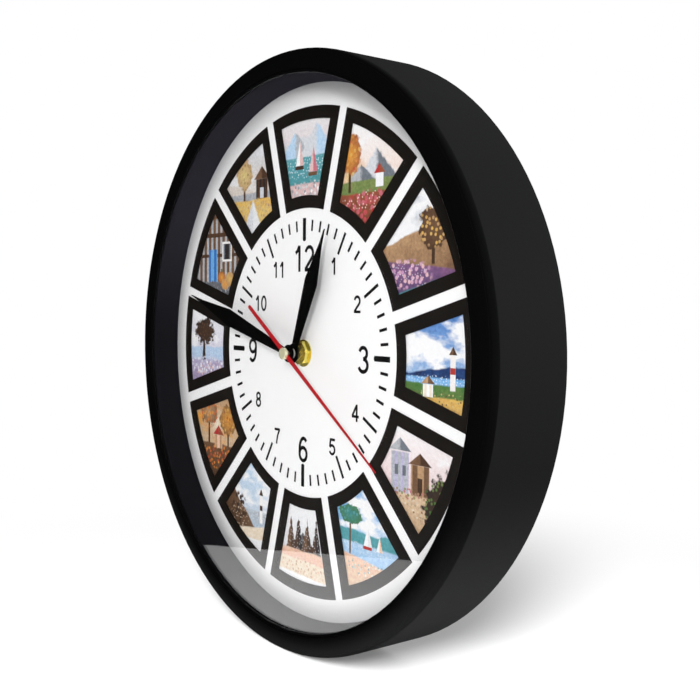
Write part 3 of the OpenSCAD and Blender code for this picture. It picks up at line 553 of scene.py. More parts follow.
def board_finish():
    """Green lacquer with tracks and dots."""
    material = finish("board_green", (0.015, 0.13, 0.055), 0.3, grain=500.0)
    tree, shader, grain = parts_of(material)
    parts = split(tree, object_place(tree))
    flat = add_node(tree, "ShaderNodeCombineXYZ", parts["X"], parts["Z"]).outputs[0]
    tracks = add_node(tree, "ShaderNodeTexBrick", Vector=flat, Scale=TRACK_SCALE, Mortar_Size=TRACK_WIDTH,
                      Brick_Width=TRACK_LENGTH, Row_Height=TRACK_PITCH)
    spots = add_node(tree, "ShaderNodeTexVoronoi", voronoi_dimensions="2D", Vector=flat, Scale=DOT_SCALE)
    tinned = larger(tree, DOT_RADIUS, spots.outputs["Distance"], DOT_EDGE)
    colour = mix_colour(tree, tracks.outputs["Fac"], grain["Colour"], TRACK_GREEN)
    feed(tree, shader["Base Color"], mix_colour(tree, tinned, colour, TIN))
    feed(tree, shader["Metallic"], tinned)
    return material


dress(board_finish(), "circuit_board")

# %% [markdown]
# The hands are stamped sheet with a baked lacquer: black on the hour and minute hands, red on the
# second hand. The cap on the second hand is pale plated brass. A coat layer would shine too much
# on such thin parts, so the shader's own gloss is turned low instead.

# %% Hands
def lacquer(name, colour, roughness, **constants):
    """Baked lacquer, or plating, on a stamped part."""
    return finish(name, colour, roughness, grain=1500.0, depth=0.03, **constants)


dress(lacquer("hand_black", (0.0007, 0.0007, 0.0007), 0.38, Specular_IOR_Level=0.05),
      "hour_hand", "minute_hand")
dress(lacquer("hand_red", (0.42, 0.002, 0.007), 0.35, Specular_IOR_Level=0.25), "second_hand")
dress(lacquer("cap_cream", (0.86, 0.82, 0.56), 0.25, Metallic=0.5), "second_hand_cap")

# %% [markdown]
# The dial is a matt white sheet. Its margin lies in the shade of the deep ring, so it darkens
# towards the edge. The lamps alone leave the margin too bright, so painted shade darkens it too,
# masked by the distance from the axis. The black frames are a printed film with a slightly warm
# black, and the marks and numbers are printed in a colder one.

# %% Dial, frames and ink
MARGIN_FROM, MARGIN_TO = 121 * MM, 139 * MM
MARGIN_PAINTED_SHADE = (0.4, 0.4, 0.41, 1)


def dial_finish():
    """Matt white with painted shade on the margin, worked out from the distance to the hands' axis."""
    material = finish("dial_white", (0.9, 0.9, 0.9), 0.55, grain=1800.0, depth=0.02, spread=0.04)
    tree, shader, grain = parts_of(material)
    # Painted shade: the margin is coloured grey towards the edge.
    margin = ramp(tree, from_axis(tree), MARGIN_FROM, MARGIN_TO)
    feed(tree, shader["Base Color"], mix_colour(tree, margin, grain["Colour"], MARGIN_PAINTED_SHADE))
    return material


dress(dial_finish(), "dial")
dress(finish("frame_black", (0.0075, 0.0058, 0.0045), 0.5, grain=1800.0, depth=0.03,
             Specular_IOR_Level=0.15), "window_frames")
ink_black = finish("ink_black", (0.003, 0.003, 0.003), 0.5, grain=1800.0, depth=0.02,
                   Specular_IOR_Level=0.15)

# %% [markdown]
# Clear glass stops lamps in a path tracer, so the dial behind it would go dark. The usual remedy is
# to let shadow rays and diffuse rays pass straight through, and keep real glass for all the others.

# %% Glass
GLASS_IOR = 1.5


def glass_finish():
    """Real glass for what is seen, and nothing at all for shadows and soft light."""
    material, tree, shader = new_material("clear_glass")
    shader.inputs["Base Color"].default_value = WHITE
    shader.inputs["Roughness"].default_value = 0.0
    shader.inputs["IOR"].default_value = GLASS_IOR
    shader.inputs["Transmission Weight"].default_value = 1.0
    rays = add_node(tree, "ShaderNodeLightPath").outputs
    clear = add_node(tree, "ShaderNodeBsdfTransparent")
    passing = calc(tree, "MAXIMUM", rays["Is Shadow Ray"], rays["Is Diffuse Ray"])
    both = add_node(tree, "ShaderNodeMixShader", passing, shader.outputs[0], clear.outputs[0])
    feed(tree, tree.nodes["Material Output"].inputs["Surface"], both.outputs[0])
    return material


dress(glass_finish(), "glass_lens")

# %% [markdown]
# Sixty printed marks run round the numerals: short ones for the minutes, longer ones for the hours
# and thick ones for the quarters. They follow one rule, so Geometry Nodes lay them out: points on a
# circle, a small bar on each, turned to face the centre.

# %% Geometry Nodes: ring of marks
GEOMETRY, INTEGER, MATERIAL = "NodeSocketGeometry", "NodeSocketInt", "NodeSocketMaterial"

marks_tree = bpy.data.node_groups.new("ring_of_marks", "GeometryNodeTree")
marks_tree.is_modifier = True
given, out = add_sockets(
    marks_tree,
    [("Geometry", GEOMETRY, None), ("Count", INTEGER, 60), ("Inner radius", VALUE, 0.06),
     ("Outer radius", VALUE, 0.068), ("Width", VALUE, 0.001), ("Thickness", VALUE, 0.0001),
     ("Depth place", VALUE, 0.0), ("Ink", MATERIAL, None)],
    [("Geometry", GEOMETRY)],
)
tree = marks_tree
inner, outer = given["Inner radius"], given["Outer radius"]
index = add_node(tree, "GeometryNodeInputIndex").outputs[0]
angle = calc(tree, "MULTIPLY", index, calc(tree, "DIVIDE", 2 * math.pi, given["Count"]))
middle = calc(tree, "MULTIPLY", calc(tree, "ADD", inner, outer), 0.5)
across = calc(tree, "MULTIPLY", calc(tree, "SINE", angle), middle)
upward = calc(tree, "MULTIPLY", calc(tree, "COSINE", angle), middle)
spot = add_node(tree, "ShaderNodeCombineXYZ", across, given["Depth place"], upward)
points = add_node(tree, "GeometryNodePoints", Count=given["Count"], Position=spot.outputs[0])
reach = calc(tree, "SUBTRACT", outer, inner)
size = add_node(tree, "ShaderNodeCombineXYZ", given["Width"], given["Thickness"], reach)
bar = add_node(tree, "GeometryNodeMeshCube", Size=size.outputs[0])
turn = add_node(tree, "ShaderNodeCombineXYZ", Y=angle)
each = add_node(tree, "GeometryNodeInstanceOnPoints", Points=points.outputs[0],
                Instance=bar.outputs["Mesh"], Rotation=turn.outputs[0])
real = add_node(tree, "GeometryNodeRealizeInstances", each.outputs[0])
inked = add_node(tree, "GeometryNodeSetMaterial", Geometry=real.outputs[0], Material=given["Ink"])
feed(tree, out[0], inked.outputs[0])
print("ring_of_marks ready:", len(tree.nodes), "nodes")

# %% [markdown]
# The export wants plain meshes. So the tree runs as a modifier on an empty mesh, its result is
# taken as a mesh of its own, and only then does the piece ride on the clock's body.

# %% Minute, hour and quarter marks
def new_piece(name, mesh):
    """Puts a mesh into the scene, at the origin and unturned."""
    obj = bpy.data.objects.new(name, mesh)
    bpy.context.scene.collection.objects.link(obj)
    return obj


def grow(name, tree, **values):
    """Runs a geometry tree on an empty mesh and returns the plain mesh that it makes."""
    seed = new_piece(name + "_seed", bpy.data.meshes.new(name + "_seed"))
    modifier = seed.modifiers.new("grow", "NODES")
    modifier.node_group = tree
    for item in tree.interface.items_tree:
        key = item.name.replace(" ", "_")
        if item.in_out == "INPUT" and key in values:
            modifier[item.identifier] = values[key]
    bpy.context.view_layer.update()
    mesh = bpy.data.meshes.new_from_object(seed.evaluated_get(bpy.context.evaluated_depsgraph_get()))
    seed.modifiers.remove(modifier)
    bpy.data.objects.remove(seed)
    return new_piece(name, mesh)


def settle(obj, body="clock"):
    """Rides a finished piece on a body and prints its number of faces."""
    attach(obj, body)
    print(obj.name, len(obj.data.polygons), "faces")


MARK_OUT = 69 * MM
MARKS = {
    "minute_marks": dict(Count=60, Inner_radius=62.4 * MM, Outer_radius=68 * MM, Width=1.45 * MM,
                         Thickness=0.08 * MM),
    "hour_marks": dict(Count=12, Inner_radius=57.2 * MM, Outer_radius=MARK_OUT, Width=1.6 * MM,
                       Thickness=0.1 * MM),
    "quarter_marks": dict(Count=4, Inner_radius=57.6 * MM, Outer_radius=MARK_OUT, Width=2.7 * MM,
                          Thickness=0.12 * MM),
}
for name, sizes in MARKS.items():
    settle(grow(name, marks_tree, Depth_place=dial_face, Ink=ink_black, **sizes))

# %% [markdown]
# The numerals are plain upright figures, large at 12, 3, 6 and 9. A font could set them, but its
# design would be someone's. So each figure is drawn here as one or more strokes of even width in a
# cell one unit high. A stroke is a line of points; an arc is a stroke round an oval.

# %% Strokes of the figures
def arc(x, y, wide, high, start, end, steps=16):
    """Points of an oval arc; angles run anticlockwise from three o'clock, in degrees."""
    angles = [math.radians(start + (end - start) * i / steps) for i in range(steps + 1)]
    return [(x + wide * math.cos(a), y + high * math.sin(a)) for a in angles]


six = [arc(0.385, 0.32, 0.25, 0.25, 0, 360, 28), arc(0.415, 0.5, 0.28, 0.43, 48, 180) + [(0.135, 0.32)]]
STROKES = {
    "0": [arc(0.39, 0.5, 0.265, 0.43, 0, 360, 32)],
    "1": [[(0.17, 0.715), (0.3, 0.79), (0.4, 0.93), (0.42, 0.999)], [(0.45, 0.0), (0.45, 1.0)]],
    "2": [arc(0.375, 0.685, 0.255, 0.245, 168, -38) + [(0.12, 0.1)], [(0.06, 0.07), (0.705, 0.07)]],
    "3": [arc(0.365, 0.73, 0.225, 0.2, 165, -90), arc(0.365, 0.3, 0.27, 0.23, 90, -162)],
    "4": [[(0.5, 0.95), (0.07, 0.33)], [(0.02, 0.3), (0.715, 0.3)], [(0.505, 0.0), (0.505, 1.0)]],
    "5": [[(0.19, 0.93), (0.67, 0.93)], [(0.215, 0.99), (0.135, 0.47)],
          arc(0.37, 0.33, 0.27, 0.26, 148, -158)],
    "6": six,
    "7": [[(0.06, 0.93), (0.7, 0.93)], [(0.67, 0.92), (0.5, 0.68), (0.39, 0.42), (0.33, 0.18), (0.31, 0.0)]],
    "8": [arc(0.385, 0.73, 0.215, 0.2, 0, 360, 24), arc(0.385, 0.295, 0.255, 0.225, 0, 360, 28)],
    "9": [[(0.775 - x, 1.0 - y) for x, y in line] for line in six],
}
print("figures drawn:", len(STROKES))

# %% [markdown]
# A stroke becomes a thin bar that follows its points: a row of four corners at each point, faces
# between the rows, and a cap at either end. It stands proud of the dial by the ink's thickness,
# which is far more than real ink's, so that no two faces lie in one plane.

# %% Turn strokes into a thin solid
STROKE, SMALL_STROKE = 0.14, 0.155
FIGURE_SQUEEZE = 0.93
ADVANCE = 0.777
INK_LIFT = 0.05 * MM


def ribbon(form, line, width, back, front):
    """Adds a bar of even width along a line of (x, z) points, from y = back to y = front."""
    rows = []
    for i, (x, z) in enumerate(line):
        before, after = line[max(i - 1, 0)], line[min(i + 1, len(line) - 1)]
        along = Vector((after[0] - before[0], after[1] - before[1])).normalized()
        side = Vector((-along.y, along.x)) * width / 2
        ends = ((x + side.x, z + side.y), (x - side.x, z - side.y))
        rows.append([form.verts.new((ex, y, ez)) for y in (front, back) for ex, ez in ends])
    for a, b in zip(rows, rows[1:]):
        for i, j in ((0, 1), (1, 3), (3, 2), (2, 0)):
            form.faces.new((a[i], a[j], b[j], b[i]))
    form.faces.new((rows[0][0], rows[0][2], rows[0][3], rows[0][1]))
    form.faces.new((rows[-1][1], rows[-1][3], rows[-1][2], rows[-1][0]))

def numeral(form, text, height, at, stroke):
    """Adds one number, centred on a place of the dial."""
    lines = [[(x + ADVANCE * n, z) for x, z in line]
             for n, digit in enumerate(text) for line in STROKES[digit]]
    xs = [x for line in lines for x, z in line]
    middle = (min(xs) + max(xs)) / 2
    for line in lines:
        placed = [(at[0] + (x - middle) * height * FIGURE_SQUEEZE, at[1] + (z - 0.5) * height)
                  for x, z in line]
        ribbon(form, placed, stroke * height, dial_face, dial_face - INK_LIFT)


print("stroke functions ready")

# %% [markdown]
# The numbers stand on a ring inside the marks, the four large ones a little nearer to the centre.
# They are nudged off their ring as the print has them: so many millimetres to the right and up.

# %% Set the twelve numbers
NUMERAL_RING = 50.6 * MM
BIG_DRAW_IN = 1.4 * MM
BIG_HEIGHT, SMALL_HEIGHT = 13.4 * MM, 8.4 * MM
HOUR_ANGLE = math.radians(30)
NUDGES = {1: (-0.6, 0.0), 2: (0.4, 0.0), 3: (0.0, -1.0), 4: (-0.3, -1.6), 5: (0.0, -1.6), 6: (0.2, -0.5),
          7: (1.4, -1.6), 8: (1.2, -2.0), 9: (0.6, -0.6), 10: (3.2, 0.0), 11: (1.4, -0.8), 12: (0.4, -0.8)}

form = bmesh.new()
for hour in range(1, 13):
    big = hour % 3 == 0
    ring = NUMERAL_RING - (BIG_DRAW_IN if big else 0)
    right, up = NUDGES[hour]
    at = (ring * math.sin(HOUR_ANGLE * hour) + right * MM, ring * math.cos(HOUR_ANGLE * hour) + up * MM)
    if big:
        numeral(form, str(hour), BIG_HEIGHT, at, STROKE)
    else:
        numeral(form, str(hour), SMALL_HEIGHT, at, SMALL_STROKE)
bmesh.ops.recalc_face_normals(form, faces=form.faces)
mesh = bpy.data.meshes.new("dial_numerals")
form.to_mesh(mesh)
form.free()
mesh.materials.append(ink_black)
settle(new_piece("dial_numerals", mesh))

# %% [markdown]
# Behind each black frame sits one small picture: a generic landscape in soft-edged shapes. All
# twelve are painted by the same node groups, so no image file is needed. Each group takes the
# picture so far and lays one thing over it. The first is a sky that fades from one colour to
# another and carries clouds.

# %% Group: sky
CLOUD_STRETCH = (1.6, 3.4, 1.0)
CLOUD_LEVEL, CLOUD_GAIN, CLOUD_EDGE = 0.66, 0.3, 9.0
PUFF_SCALE, PUFF_DETAIL = 1.6, 5.0

sky_layer, given, out = new_group(
    "sky_layer",
    [("Place", VECTOR, None), ("Low", COLOUR, None), ("High", COLOUR, None), ("Cloud", COLOUR, None),
     ("Cover", VALUE, 0.3), ("Seed", VALUE, 0.0)],
)
tree = sky_layer
fade = mix_colour(tree, split(tree, given["Place"])["Y"], given["Low"], given["High"])
drift = add_node(tree, "ShaderNodeCombineXYZ", Z=given["Seed"])
stretch = add_node(tree, "ShaderNodeMapping", Vector=given["Place"], Location=drift.outputs[0],
                   Scale=CLOUD_STRETCH)
puffs = add_node(tree, "ShaderNodeTexNoise", Vector=stretch.outputs[0], Scale=PUFF_SCALE, Detail=PUFF_DETAIL)
edge = calc(tree, "SUBTRACT", CLOUD_LEVEL, calc(tree, "MULTIPLY", given["Cover"], CLOUD_GAIN))
mask = larger(tree, puffs.outputs["Fac"], edge, CLOUD_EDGE)
feed(tree, out[0], mix_colour(tree, mask, fade, given["Cloud"]))
print("group sky_layer ready")

# %% [markdown]
# A ridge fills everything below a wavy line: hills, water, sand or a field. Noise along one
# direction makes the line, and a finer noise mottles what lies below it.

# %% Group: ridge
THING = [("Under", COLOUR, None), ("Place", VECTOR, None), ("Colour", COLOUR, None), ("Shade", COLOUR, None)]
RIDGE_EDGE, RIDGE_DEEPENS, RIDGE_PALE = 60.0, 1.6, 0.4
WAVE_DETAIL, SOIL_SCALE, SOIL_DETAIL = 4.0, 9.0, 5.0


def noise(tree, place, scale, detail):
    """A noise value that swings round nought."""
    node = add_node(tree, "ShaderNodeTexNoise", Vector=place, Scale=scale, Detail=detail)
    return calc(tree, "SUBTRACT", node.outputs["Fac"], 0.5)


ridge_layer, given, out = new_group(
    "ridge_layer",
    [*THING, ("Height", VALUE, 0.4), ("Waviness", VALUE, 0.2), ("Scale", VALUE, 2.0),
     ("Slope", VALUE, 0.0), ("Seed", VALUE, 0.0)],
)
tree = ridge_layer
parts = split(tree, given["Place"])
along = add_node(tree, "ShaderNodeCombineXYZ", parts["X"], given["Seed"])
wave = noise(tree, along.outputs[0], given["Scale"], WAVE_DETAIL)
top = calc(tree, "ADD", given["Height"], calc(tree, "MULTIPLY", wave, given["Waviness"]))
top = calc(tree, "ADD", top, calc(tree, "MULTIPLY", parts["X"], given["Slope"]))
below = calc(tree, "SUBTRACT", top, parts["Y"])
soil = add_node(tree, "ShaderNodeTexNoise", Vector=given["Place"], Scale=SOIL_SCALE, Detail=SOIL_DETAIL)
soil = calc(tree, "SUBTRACT", soil.outputs["Fac"], RIDGE_PALE)
depth = calc(tree, "MULTIPLY_ADD", below, RIDGE_DEEPENS, soil, clamp=True)
mask = calc(tree, "MULTIPLY", below, RIDGE_EDGE, clamp=True)
ground = mix_colour(tree, depth, given["Colour"], given["Shade"])
feed(tree, out[0], mix_colour(tree, mask, given["Under"], ground))
print("group ridge_layer ready")

# %% [markdown]
# The next four kinds of thing all have a centre and a half size. Their groups start with the same
# sockets, measure a place from the centre in half sizes, and end by laying two mixed colours over
# the picture so far.

# %% Helpers for things with a centre
def thing_group(name, *more):
    """A group for a thing with a centre: its tree, its ends and the place in half sizes."""
    sockets = [*THING, ("Centre", VECTOR, None), ("Size", VECTOR, (0.2, 0.2, 1)), *more]
    tree, given, out = new_group(name, sockets)
    off = add_node(tree, "ShaderNodeVectorMath", given["Place"], given["Centre"], operation="SUBTRACT")
    scaled = add_node(tree, "ShaderNodeVectorMath", off.outputs[0], given["Size"], operation="DIVIDE")
    return tree, given, out, scaled.outputs[0]


def lay(tree, given, out, mask, factor):
    """Mixes the two colours and lays them over the picture so far where the mask is on."""
    paint = mix_colour(tree, factor, given["Colour"], given["Shade"])
    feed(tree, out[0], mix_colour(tree, mask, given["Under"], paint))
    print("group", tree.name, "ready")


print("helpers for things ready")

# %% [markdown]
# A blob is an oval with a ragged edge: a tree's crown, a bush, a pumpkin or the glow of the sun.

# %% Group: blob
RAG_SCALE, RAG_DETAIL = 13.0, 4.0
RIM_SHADE = 0.9

blob_layer, given, out, scaled = thing_group(
    "blob_layer", ("Softness", VALUE, 0.05), ("Ragged", VALUE, 0.1))
tree = blob_layer
length = length_of(tree, scaled)
rough = calc(tree, "MULTIPLY", noise(tree, given["Place"], RAG_SCALE, RAG_DETAIL), given["Ragged"])
inside = calc(tree, "SUBTRACT", 1.0, calc(tree, "ADD", length, rough))
mask = calc(tree, "DIVIDE", inside, given["Softness"], clamp=True)
lay(tree, given, out, mask, calc(tree, "MULTIPLY", length, RIM_SHADE, clamp=True))

# %% [markdown]
# A box is a wall, a trunk, a mast or a boat, and its second colour can come in upright stripes.

# %% Group: box
SHAPE_EDGE = 12.0
STRIPE_EDGE, STRIPE_SHARE = 2.0, 0.2

box_layer, given, out, scaled = thing_group("box_layer", ("Stripes", VALUE, 0.0))
tree = box_layer
positive = add_node(tree, "ShaderNodeVectorMath", scaled, operation="ABSOLUTE")
parts = split(tree, positive.outputs[0])
mask = larger(tree, 1.0, calc(tree, "MAXIMUM", parts["X"], parts["Y"]), SHAPE_EDGE)
stripe = calc(tree, "SINE", calc(tree, "MULTIPLY", split(tree, given["Place"])["X"], given["Stripes"]))
lay(tree, given, out, mask, calc(tree, "MULTIPLY_ADD", stripe, STRIPE_EDGE, STRIPE_SHARE, clamp=True))

# %% [markdown]
# A peak is a triangle that stands on its centre, lit on the left: a mountain, a pine, a roof or a
# sail.

# %% Group: peak
CRAG_SCALE, CRAG_DETAIL = 16.0, 4.0
FOOT_EDGE = 2.0
LIT_EDGE, LIT_MIDDLE = 7.0, 0.5

peak_layer, given, out, scaled = thing_group("peak_layer", ("Ragged", VALUE, 0.0))
tree = peak_layer
parts = split(tree, scaled)
rough = calc(tree, "MULTIPLY", noise(tree, given["Place"], CRAG_SCALE, CRAG_DETAIL), given["Ragged"])
sides = calc(tree, "ADD", calc(tree, "ABSOLUTE", parts["X"]), parts["Y"])
inside = calc(tree, "SUBTRACT", 1.0, calc(tree, "ADD", sides, rough))
inside = calc(tree, "MINIMUM", inside, calc(tree, "MULTIPLY", parts["Y"], FOOT_EDGE))
mask = calc(tree, "MULTIPLY", inside, SHAPE_EDGE, clamp=True)
turned = calc(tree, "ADD", parts["X"], rough)
lay(tree, given, out, mask, calc(tree, "MULTIPLY_ADD", turned, LIT_EDGE, LIT_MIDDLE, clamp=True))

# %% [markdown]
# Dots are scattered over an oval patch, in two colours: flowers, leaves, pebbles or light on water.

# %% Group: dots
DOT_SOFT, PATCH_SOFT = 9.0, 5.0

dots_layer, given, out, scaled = thing_group("dots_layer", ("Scale", VALUE, 20.0), ("Dot", VALUE, 0.35))
tree = dots_layer
cells = add_node(tree, "ShaderNodeTexVoronoi", voronoi_dimensions="2D", Vector=given["Place"],
                 Scale=given["Scale"]).outputs
near = larger(tree, given["Dot"], cells["Distance"], DOT_SOFT)
patch = larger(tree, 1.0, length_of(tree, scaled), PATCH_SOFT)
lay(tree, given, out, calc(tree, "MULTIPLY", near, patch), split(tree, cells["Color"])["X"])

# %% [markdown]
# A picture is a list: its sky first, then things from far to near. Places run from (0, 0) at the
# window's lower left to (1, 1) at its upper right. Colours are named once in a small paint box, in
# linear light.

# %% Paint box
PAINT = {
    "white": (0.86, 0.86, 0.87), "chalk": (0.74, 0.75, 0.77), "cloud": (0.62, 0.64, 0.68),
    "mist": (0.42, 0.44, 0.47), "slate": (0.16, 0.18, 0.21), "soot": (0.025, 0.02, 0.02),
    "umber": (0.07, 0.035, 0.02), "bark": (0.16, 0.085, 0.045), "tan": (0.46, 0.28, 0.15),
    "sand": (0.66, 0.5, 0.34), "cream": (0.8, 0.7, 0.56), "peach": (0.78, 0.5, 0.36),
    "blush": (0.72, 0.47, 0.46), "rose": (0.55, 0.16, 0.2), "red": (0.45, 0.03, 0.03),
    "amber": (0.72, 0.32, 0.05), "gold": (0.68, 0.42, 0.1), "straw": (0.66, 0.52, 0.22),
    "sky": (0.16, 0.4, 0.72), "deep_sky": (0.04, 0.17, 0.5), "pale_sky": (0.45, 0.62, 0.8),
    "navy": (0.015, 0.03, 0.1), "teal": (0.05, 0.24, 0.26), "sea": (0.1, 0.34, 0.38),
    "leaf": (0.06, 0.17, 0.04), "moss": (0.2, 0.25, 0.08), "lilac": (0.45, 0.42, 0.6),
    "plum": (0.22, 0.1, 0.22), "orchid": (0.5, 0.25, 0.48), "brick": (0.3, 0.08, 0.04),
}
print("colours:", len(PAINT))

# %% [markdown]
# One function turns such a list into a material. At the end it lays a fine mottle over everything,
# so that no area of the print is flat, and the grain group gives the paper its surface.

# %% Picture function
LAYERS = {"ridge": ridge_layer, "blob": blob_layer, "box": box_layer, "peak": peak_layer,
          "dots": dots_layer}
SEED_STEP = 3.7
MOTTLE, MOTTLE_SCALE, MOTTLE_DETAIL = 0.5, 30.0, 6.0
PRINT_ROUGHNESS, PRINT_GRAIN, PRINT_GLOSS = 0.35, 0.02, 0.2


def paint(name):
    """A colour of the paint box, for a socket."""
    return (*PAINT[name], 1)


def picture_finish(number, sky, layers):
    """A print whose shapes are laid over one another in the order of the list."""
    material, tree, shader = new_material(f"picture_{number:02d}")
    place = add_node(tree, "ShaderNodeUVMap", uv_map="window").outputs[0]
    low, high, cloud, cover = sky
    picture = add_node(tree, "ShaderNodeGroup", node_tree=sky_layer, Place=place, Low=paint(low),
                       High=paint(high), Cloud=paint(cloud), Cover=cover, Seed=number * SEED_STEP)
    for kind, colour, shade, values in layers:
        picture = add_node(tree, "ShaderNodeGroup", node_tree=LAYERS[kind], Under=picture.outputs[0],
                           Place=place, Colour=paint(colour), Shade=paint(shade), **values)
    mottle = add_node(tree, "ShaderNodeTexNoise", Vector=place, Scale=MOTTLE_SCALE, Detail=MOTTLE_DETAIL)
    colour = mix_colour(tree, MOTTLE, picture.outputs[0], mottle.outputs["Fac"], blend="OVERLAY")
    add_grain(tree, shader, Colour=colour, Roughness=PRINT_ROUGHNESS, Depth=PRINT_GRAIN, Dust=0.0)
    shader.inputs["Specular IOR Level"].default_value = PRINT_GLOSS
    return material


def ridge(colour, shade, height, waviness=0.2, scale=2.0, slope=0.0, seed=0.0):
    return "ridge", colour, shade, dict(Height=height, Waviness=waviness, Scale=scale, Slope=slope, Seed=seed)


def thing(kind, colour, shade, x, y, w, h, **more):
    """A thing with a centre and a half size."""
    return kind, colour, shade, dict(Centre=(x, y, 0), Size=(w, h, 1), **more)


def blob(colour, shade, x, y, w, h, softness=0.1, ragged=0.2):
    return thing("blob", colour, shade, x, y, w, h, Softness=softness, Ragged=ragged)


def box(colour, shade, x, y, w, h, stripes=0.0):
    return thing("box", colour, shade, x, y, w, h, Stripes=stripes)


def peak(colour, shade, x, y, w, h, ragged=0.0):
    return thing("peak", colour, shade, x, y, w, h, Ragged=ragged)


def dots(colour, shade, x, y, w, h, scale=20.0, dot=0.35):
    return thing("dots", colour, shade, x, y, w, h, Scale=scale, Dot=dot)


print("picture functions ready")

# %% [markdown]
# The twelve pictures, by the hour they stand at. The first six: red fields below grey mountains, a
# lavender field, a lighthouse bay, houses, a sandy bay and a row of dark pines in the snow.

# %% Pictures of the first half
pictures = {}
pictures[1] = picture_finish(1, ("peach", "white", "white", 0.3), [
    blob("straw", "amber", 0.3, 0.5, 0.26, 0.22, softness=0.8),
    peak("cloud", "slate", 0.66, 0.42, 0.34, 0.34, 0.3), peak("mist", "slate", 0.42, 0.42, 0.26, 0.2, 0.3),
    ridge("moss", "leaf", 0.46, 0.08, 3.0, seed=4.0), box("umber", "soot", 0.24, 0.5, 0.02, 0.16),
    blob("amber", "brick", 0.24, 0.72, 0.18, 0.2, ragged=0.9),
    dots("gold", "red", 0.24, 0.72, 0.2, 0.22, 16.0, 0.36),
    ridge("brick", "umber", 0.34, 0.05, 2.0, seed=2.0),
    dots("red", "rose", 0.6, 0.2, 0.5, 0.17, 15.0, 0.45),
    dots("white", "peach", 0.5, 0.26, 0.4, 0.1, 19.0, 0.2), box("white", "chalk", 0.7, 0.44, 0.06, 0.07),
    peak("red", "brick", 0.7, 0.5, 0.09, 0.1)])
pictures[2] = picture_finish(2, ("chalk", "white", "cloud", 0.4), [
    ridge("tan", "bark", 0.56, 0.24, 2.2, slope=0.2, seed=2.0),
    box("umber", "soot", 0.72, 0.5, 0.022, 0.14), blob("bark", "umber", 0.72, 0.7, 0.2, 0.2, ragged=1.0),
    dots("tan", "gold", 0.72, 0.7, 0.22, 0.2, 17.0, 0.32),
    ridge("plum", "navy", 0.42, 0.05, 2.0, slope=-0.1),
    dots("orchid", "blush", 0.34, 0.28, 0.4, 0.15, 17.0, 0.4),
    dots("white", "lilac", 0.36, 0.3, 0.36, 0.1, 26.0, 0.2),
    ridge("teal", "sea", 0.06, 0.05, 2.0, slope=0.22),
    dots("pale_sky", "white", 0.72, 0.16, 0.2, 0.05, 26.0, 0.22)])
pictures[3] = picture_finish(3, ("pale_sky", "deep_sky", "white", 0.8), [
    ridge("navy", "deep_sky", 0.4, 0.26, 1.7, slope=0.1, seed=3.0),
    ridge("sky", "pale_sky", 0.38, 0.01, 1.0), dots("white", "pale_sky", 0.5, 0.35, 0.5, 0.05, 30.0, 0.24),
    ridge("leaf", "moss", 0.32, 0.1, 3.2, seed=7.0), ridge("gold", "tan", 0.2, 0.06, 2.6, seed=9.0),
    dots("umber", "straw", 0.5, 0.16, 0.5, 0.1, 22.0, 0.25), box("white", "sand", 0.72, 0.42, 0.035, 0.16),
    box("red", "brick", 0.72, 0.44, 0.034, 0.03), peak("bark", "umber", 0.72, 0.58, 0.055, 0.08),
    box("white", "cream", 0.4, 0.25, 0.07, 0.06, 90.0), peak("tan", "bark", 0.4, 0.31, 0.1, 0.08)])
pictures[4] = picture_finish(4, ("blush", "white", "white", 0.3), [
    box("lilac", "mist", 0.3, 0.48, 0.13, 0.2, 70.0), peak("mist", "slate", 0.3, 0.68, 0.17, 0.13),
    box("tan", "bark", 0.58, 0.42, 0.13, 0.16, 40.0), peak("bark", "umber", 0.58, 0.57, 0.17, 0.12),
    box("umber", "soot", 0.58, 0.36, 0.035, 0.1), box("slate", "soot", 0.25, 0.5, 0.025, 0.05),
    box("slate", "soot", 0.36, 0.5, 0.025, 0.05), ridge("sand", "tan", 0.3, 0.04, 1.0),
    dots("moss", "rose", 0.4, 0.29, 0.34, 0.06, 24.0, 0.4),
    dots("bark", "cream", 0.4, 0.16, 0.5, 0.1, 18.0, 0.25),
    blob("umber", "soot", 0.92, 0.14, 0.3, 0.4, ragged=0.9),
    dots("leaf", "moss", 0.88, 0.24, 0.26, 0.28, 18.0, 0.3)])
pictures[5] = picture_finish(5, ("pale_sky", "sky", "white", 0.6), [
    ridge("sea", "teal", 0.56, 0.22, 2.4, seed=6.0), ridge("pale_sky", "sky", 0.44, 0.01, 1.0),
    dots("white", "pale_sky", 0.5, 0.39, 0.5, 0.06, 30.0, 0.24),
    peak("white", "chalk", 0.58, 0.42, 0.07, 0.22), box("red", "brick", 0.575, 0.41, 0.07, 0.016),
    peak("white", "peach", 0.76, 0.4, 0.05, 0.16),
    ridge("peach", "sand", 0.34, 0.06, 1.8, slope=-0.1, seed=8.0),
    box("bark", "umber", 0.3, 0.5, 0.014, 0.2), blob("teal", "leaf", 0.3, 0.7, 0.19, 0.1, ragged=1.3),
    dots("sea", "leaf", 0.3, 0.7, 0.18, 0.1, 20.0, 0.34),
    dots("white", "teal", 0.6, 0.2, 0.4, 0.1, 20.0, 0.26)])
pictures[6] = picture_finish(6, ("cloud", "white", "white", 0.4), [
    peak("slate", "umber", 0.5, 0.44, 0.3, 0.2, 0.3), peak("bark", "umber", 0.28, 0.42, 0.09, 0.36, 0.7),
    peak("umber", "soot", 0.42, 0.4, 0.1, 0.42, 0.7), peak("bark", "umber", 0.58, 0.42, 0.1, 0.36, 0.7),
    peak("umber", "soot", 0.74, 0.4, 0.1, 0.4, 0.7),
    dots("white", "cloud", 0.5, 0.56, 0.4, 0.2, 24.0, 0.18),
    ridge("peach", "blush", 0.44, 0.08, 3.4, seed=3.0), ridge("cream", "sand", 0.34, 0.08, 2.0, seed=5.0),
    dots("peach", "tan", 0.5, 0.26, 0.5, 0.12, 18.0, 0.28),
    ridge("white", "chalk", 0.18, 0.06, 2.0, seed=4.0)])
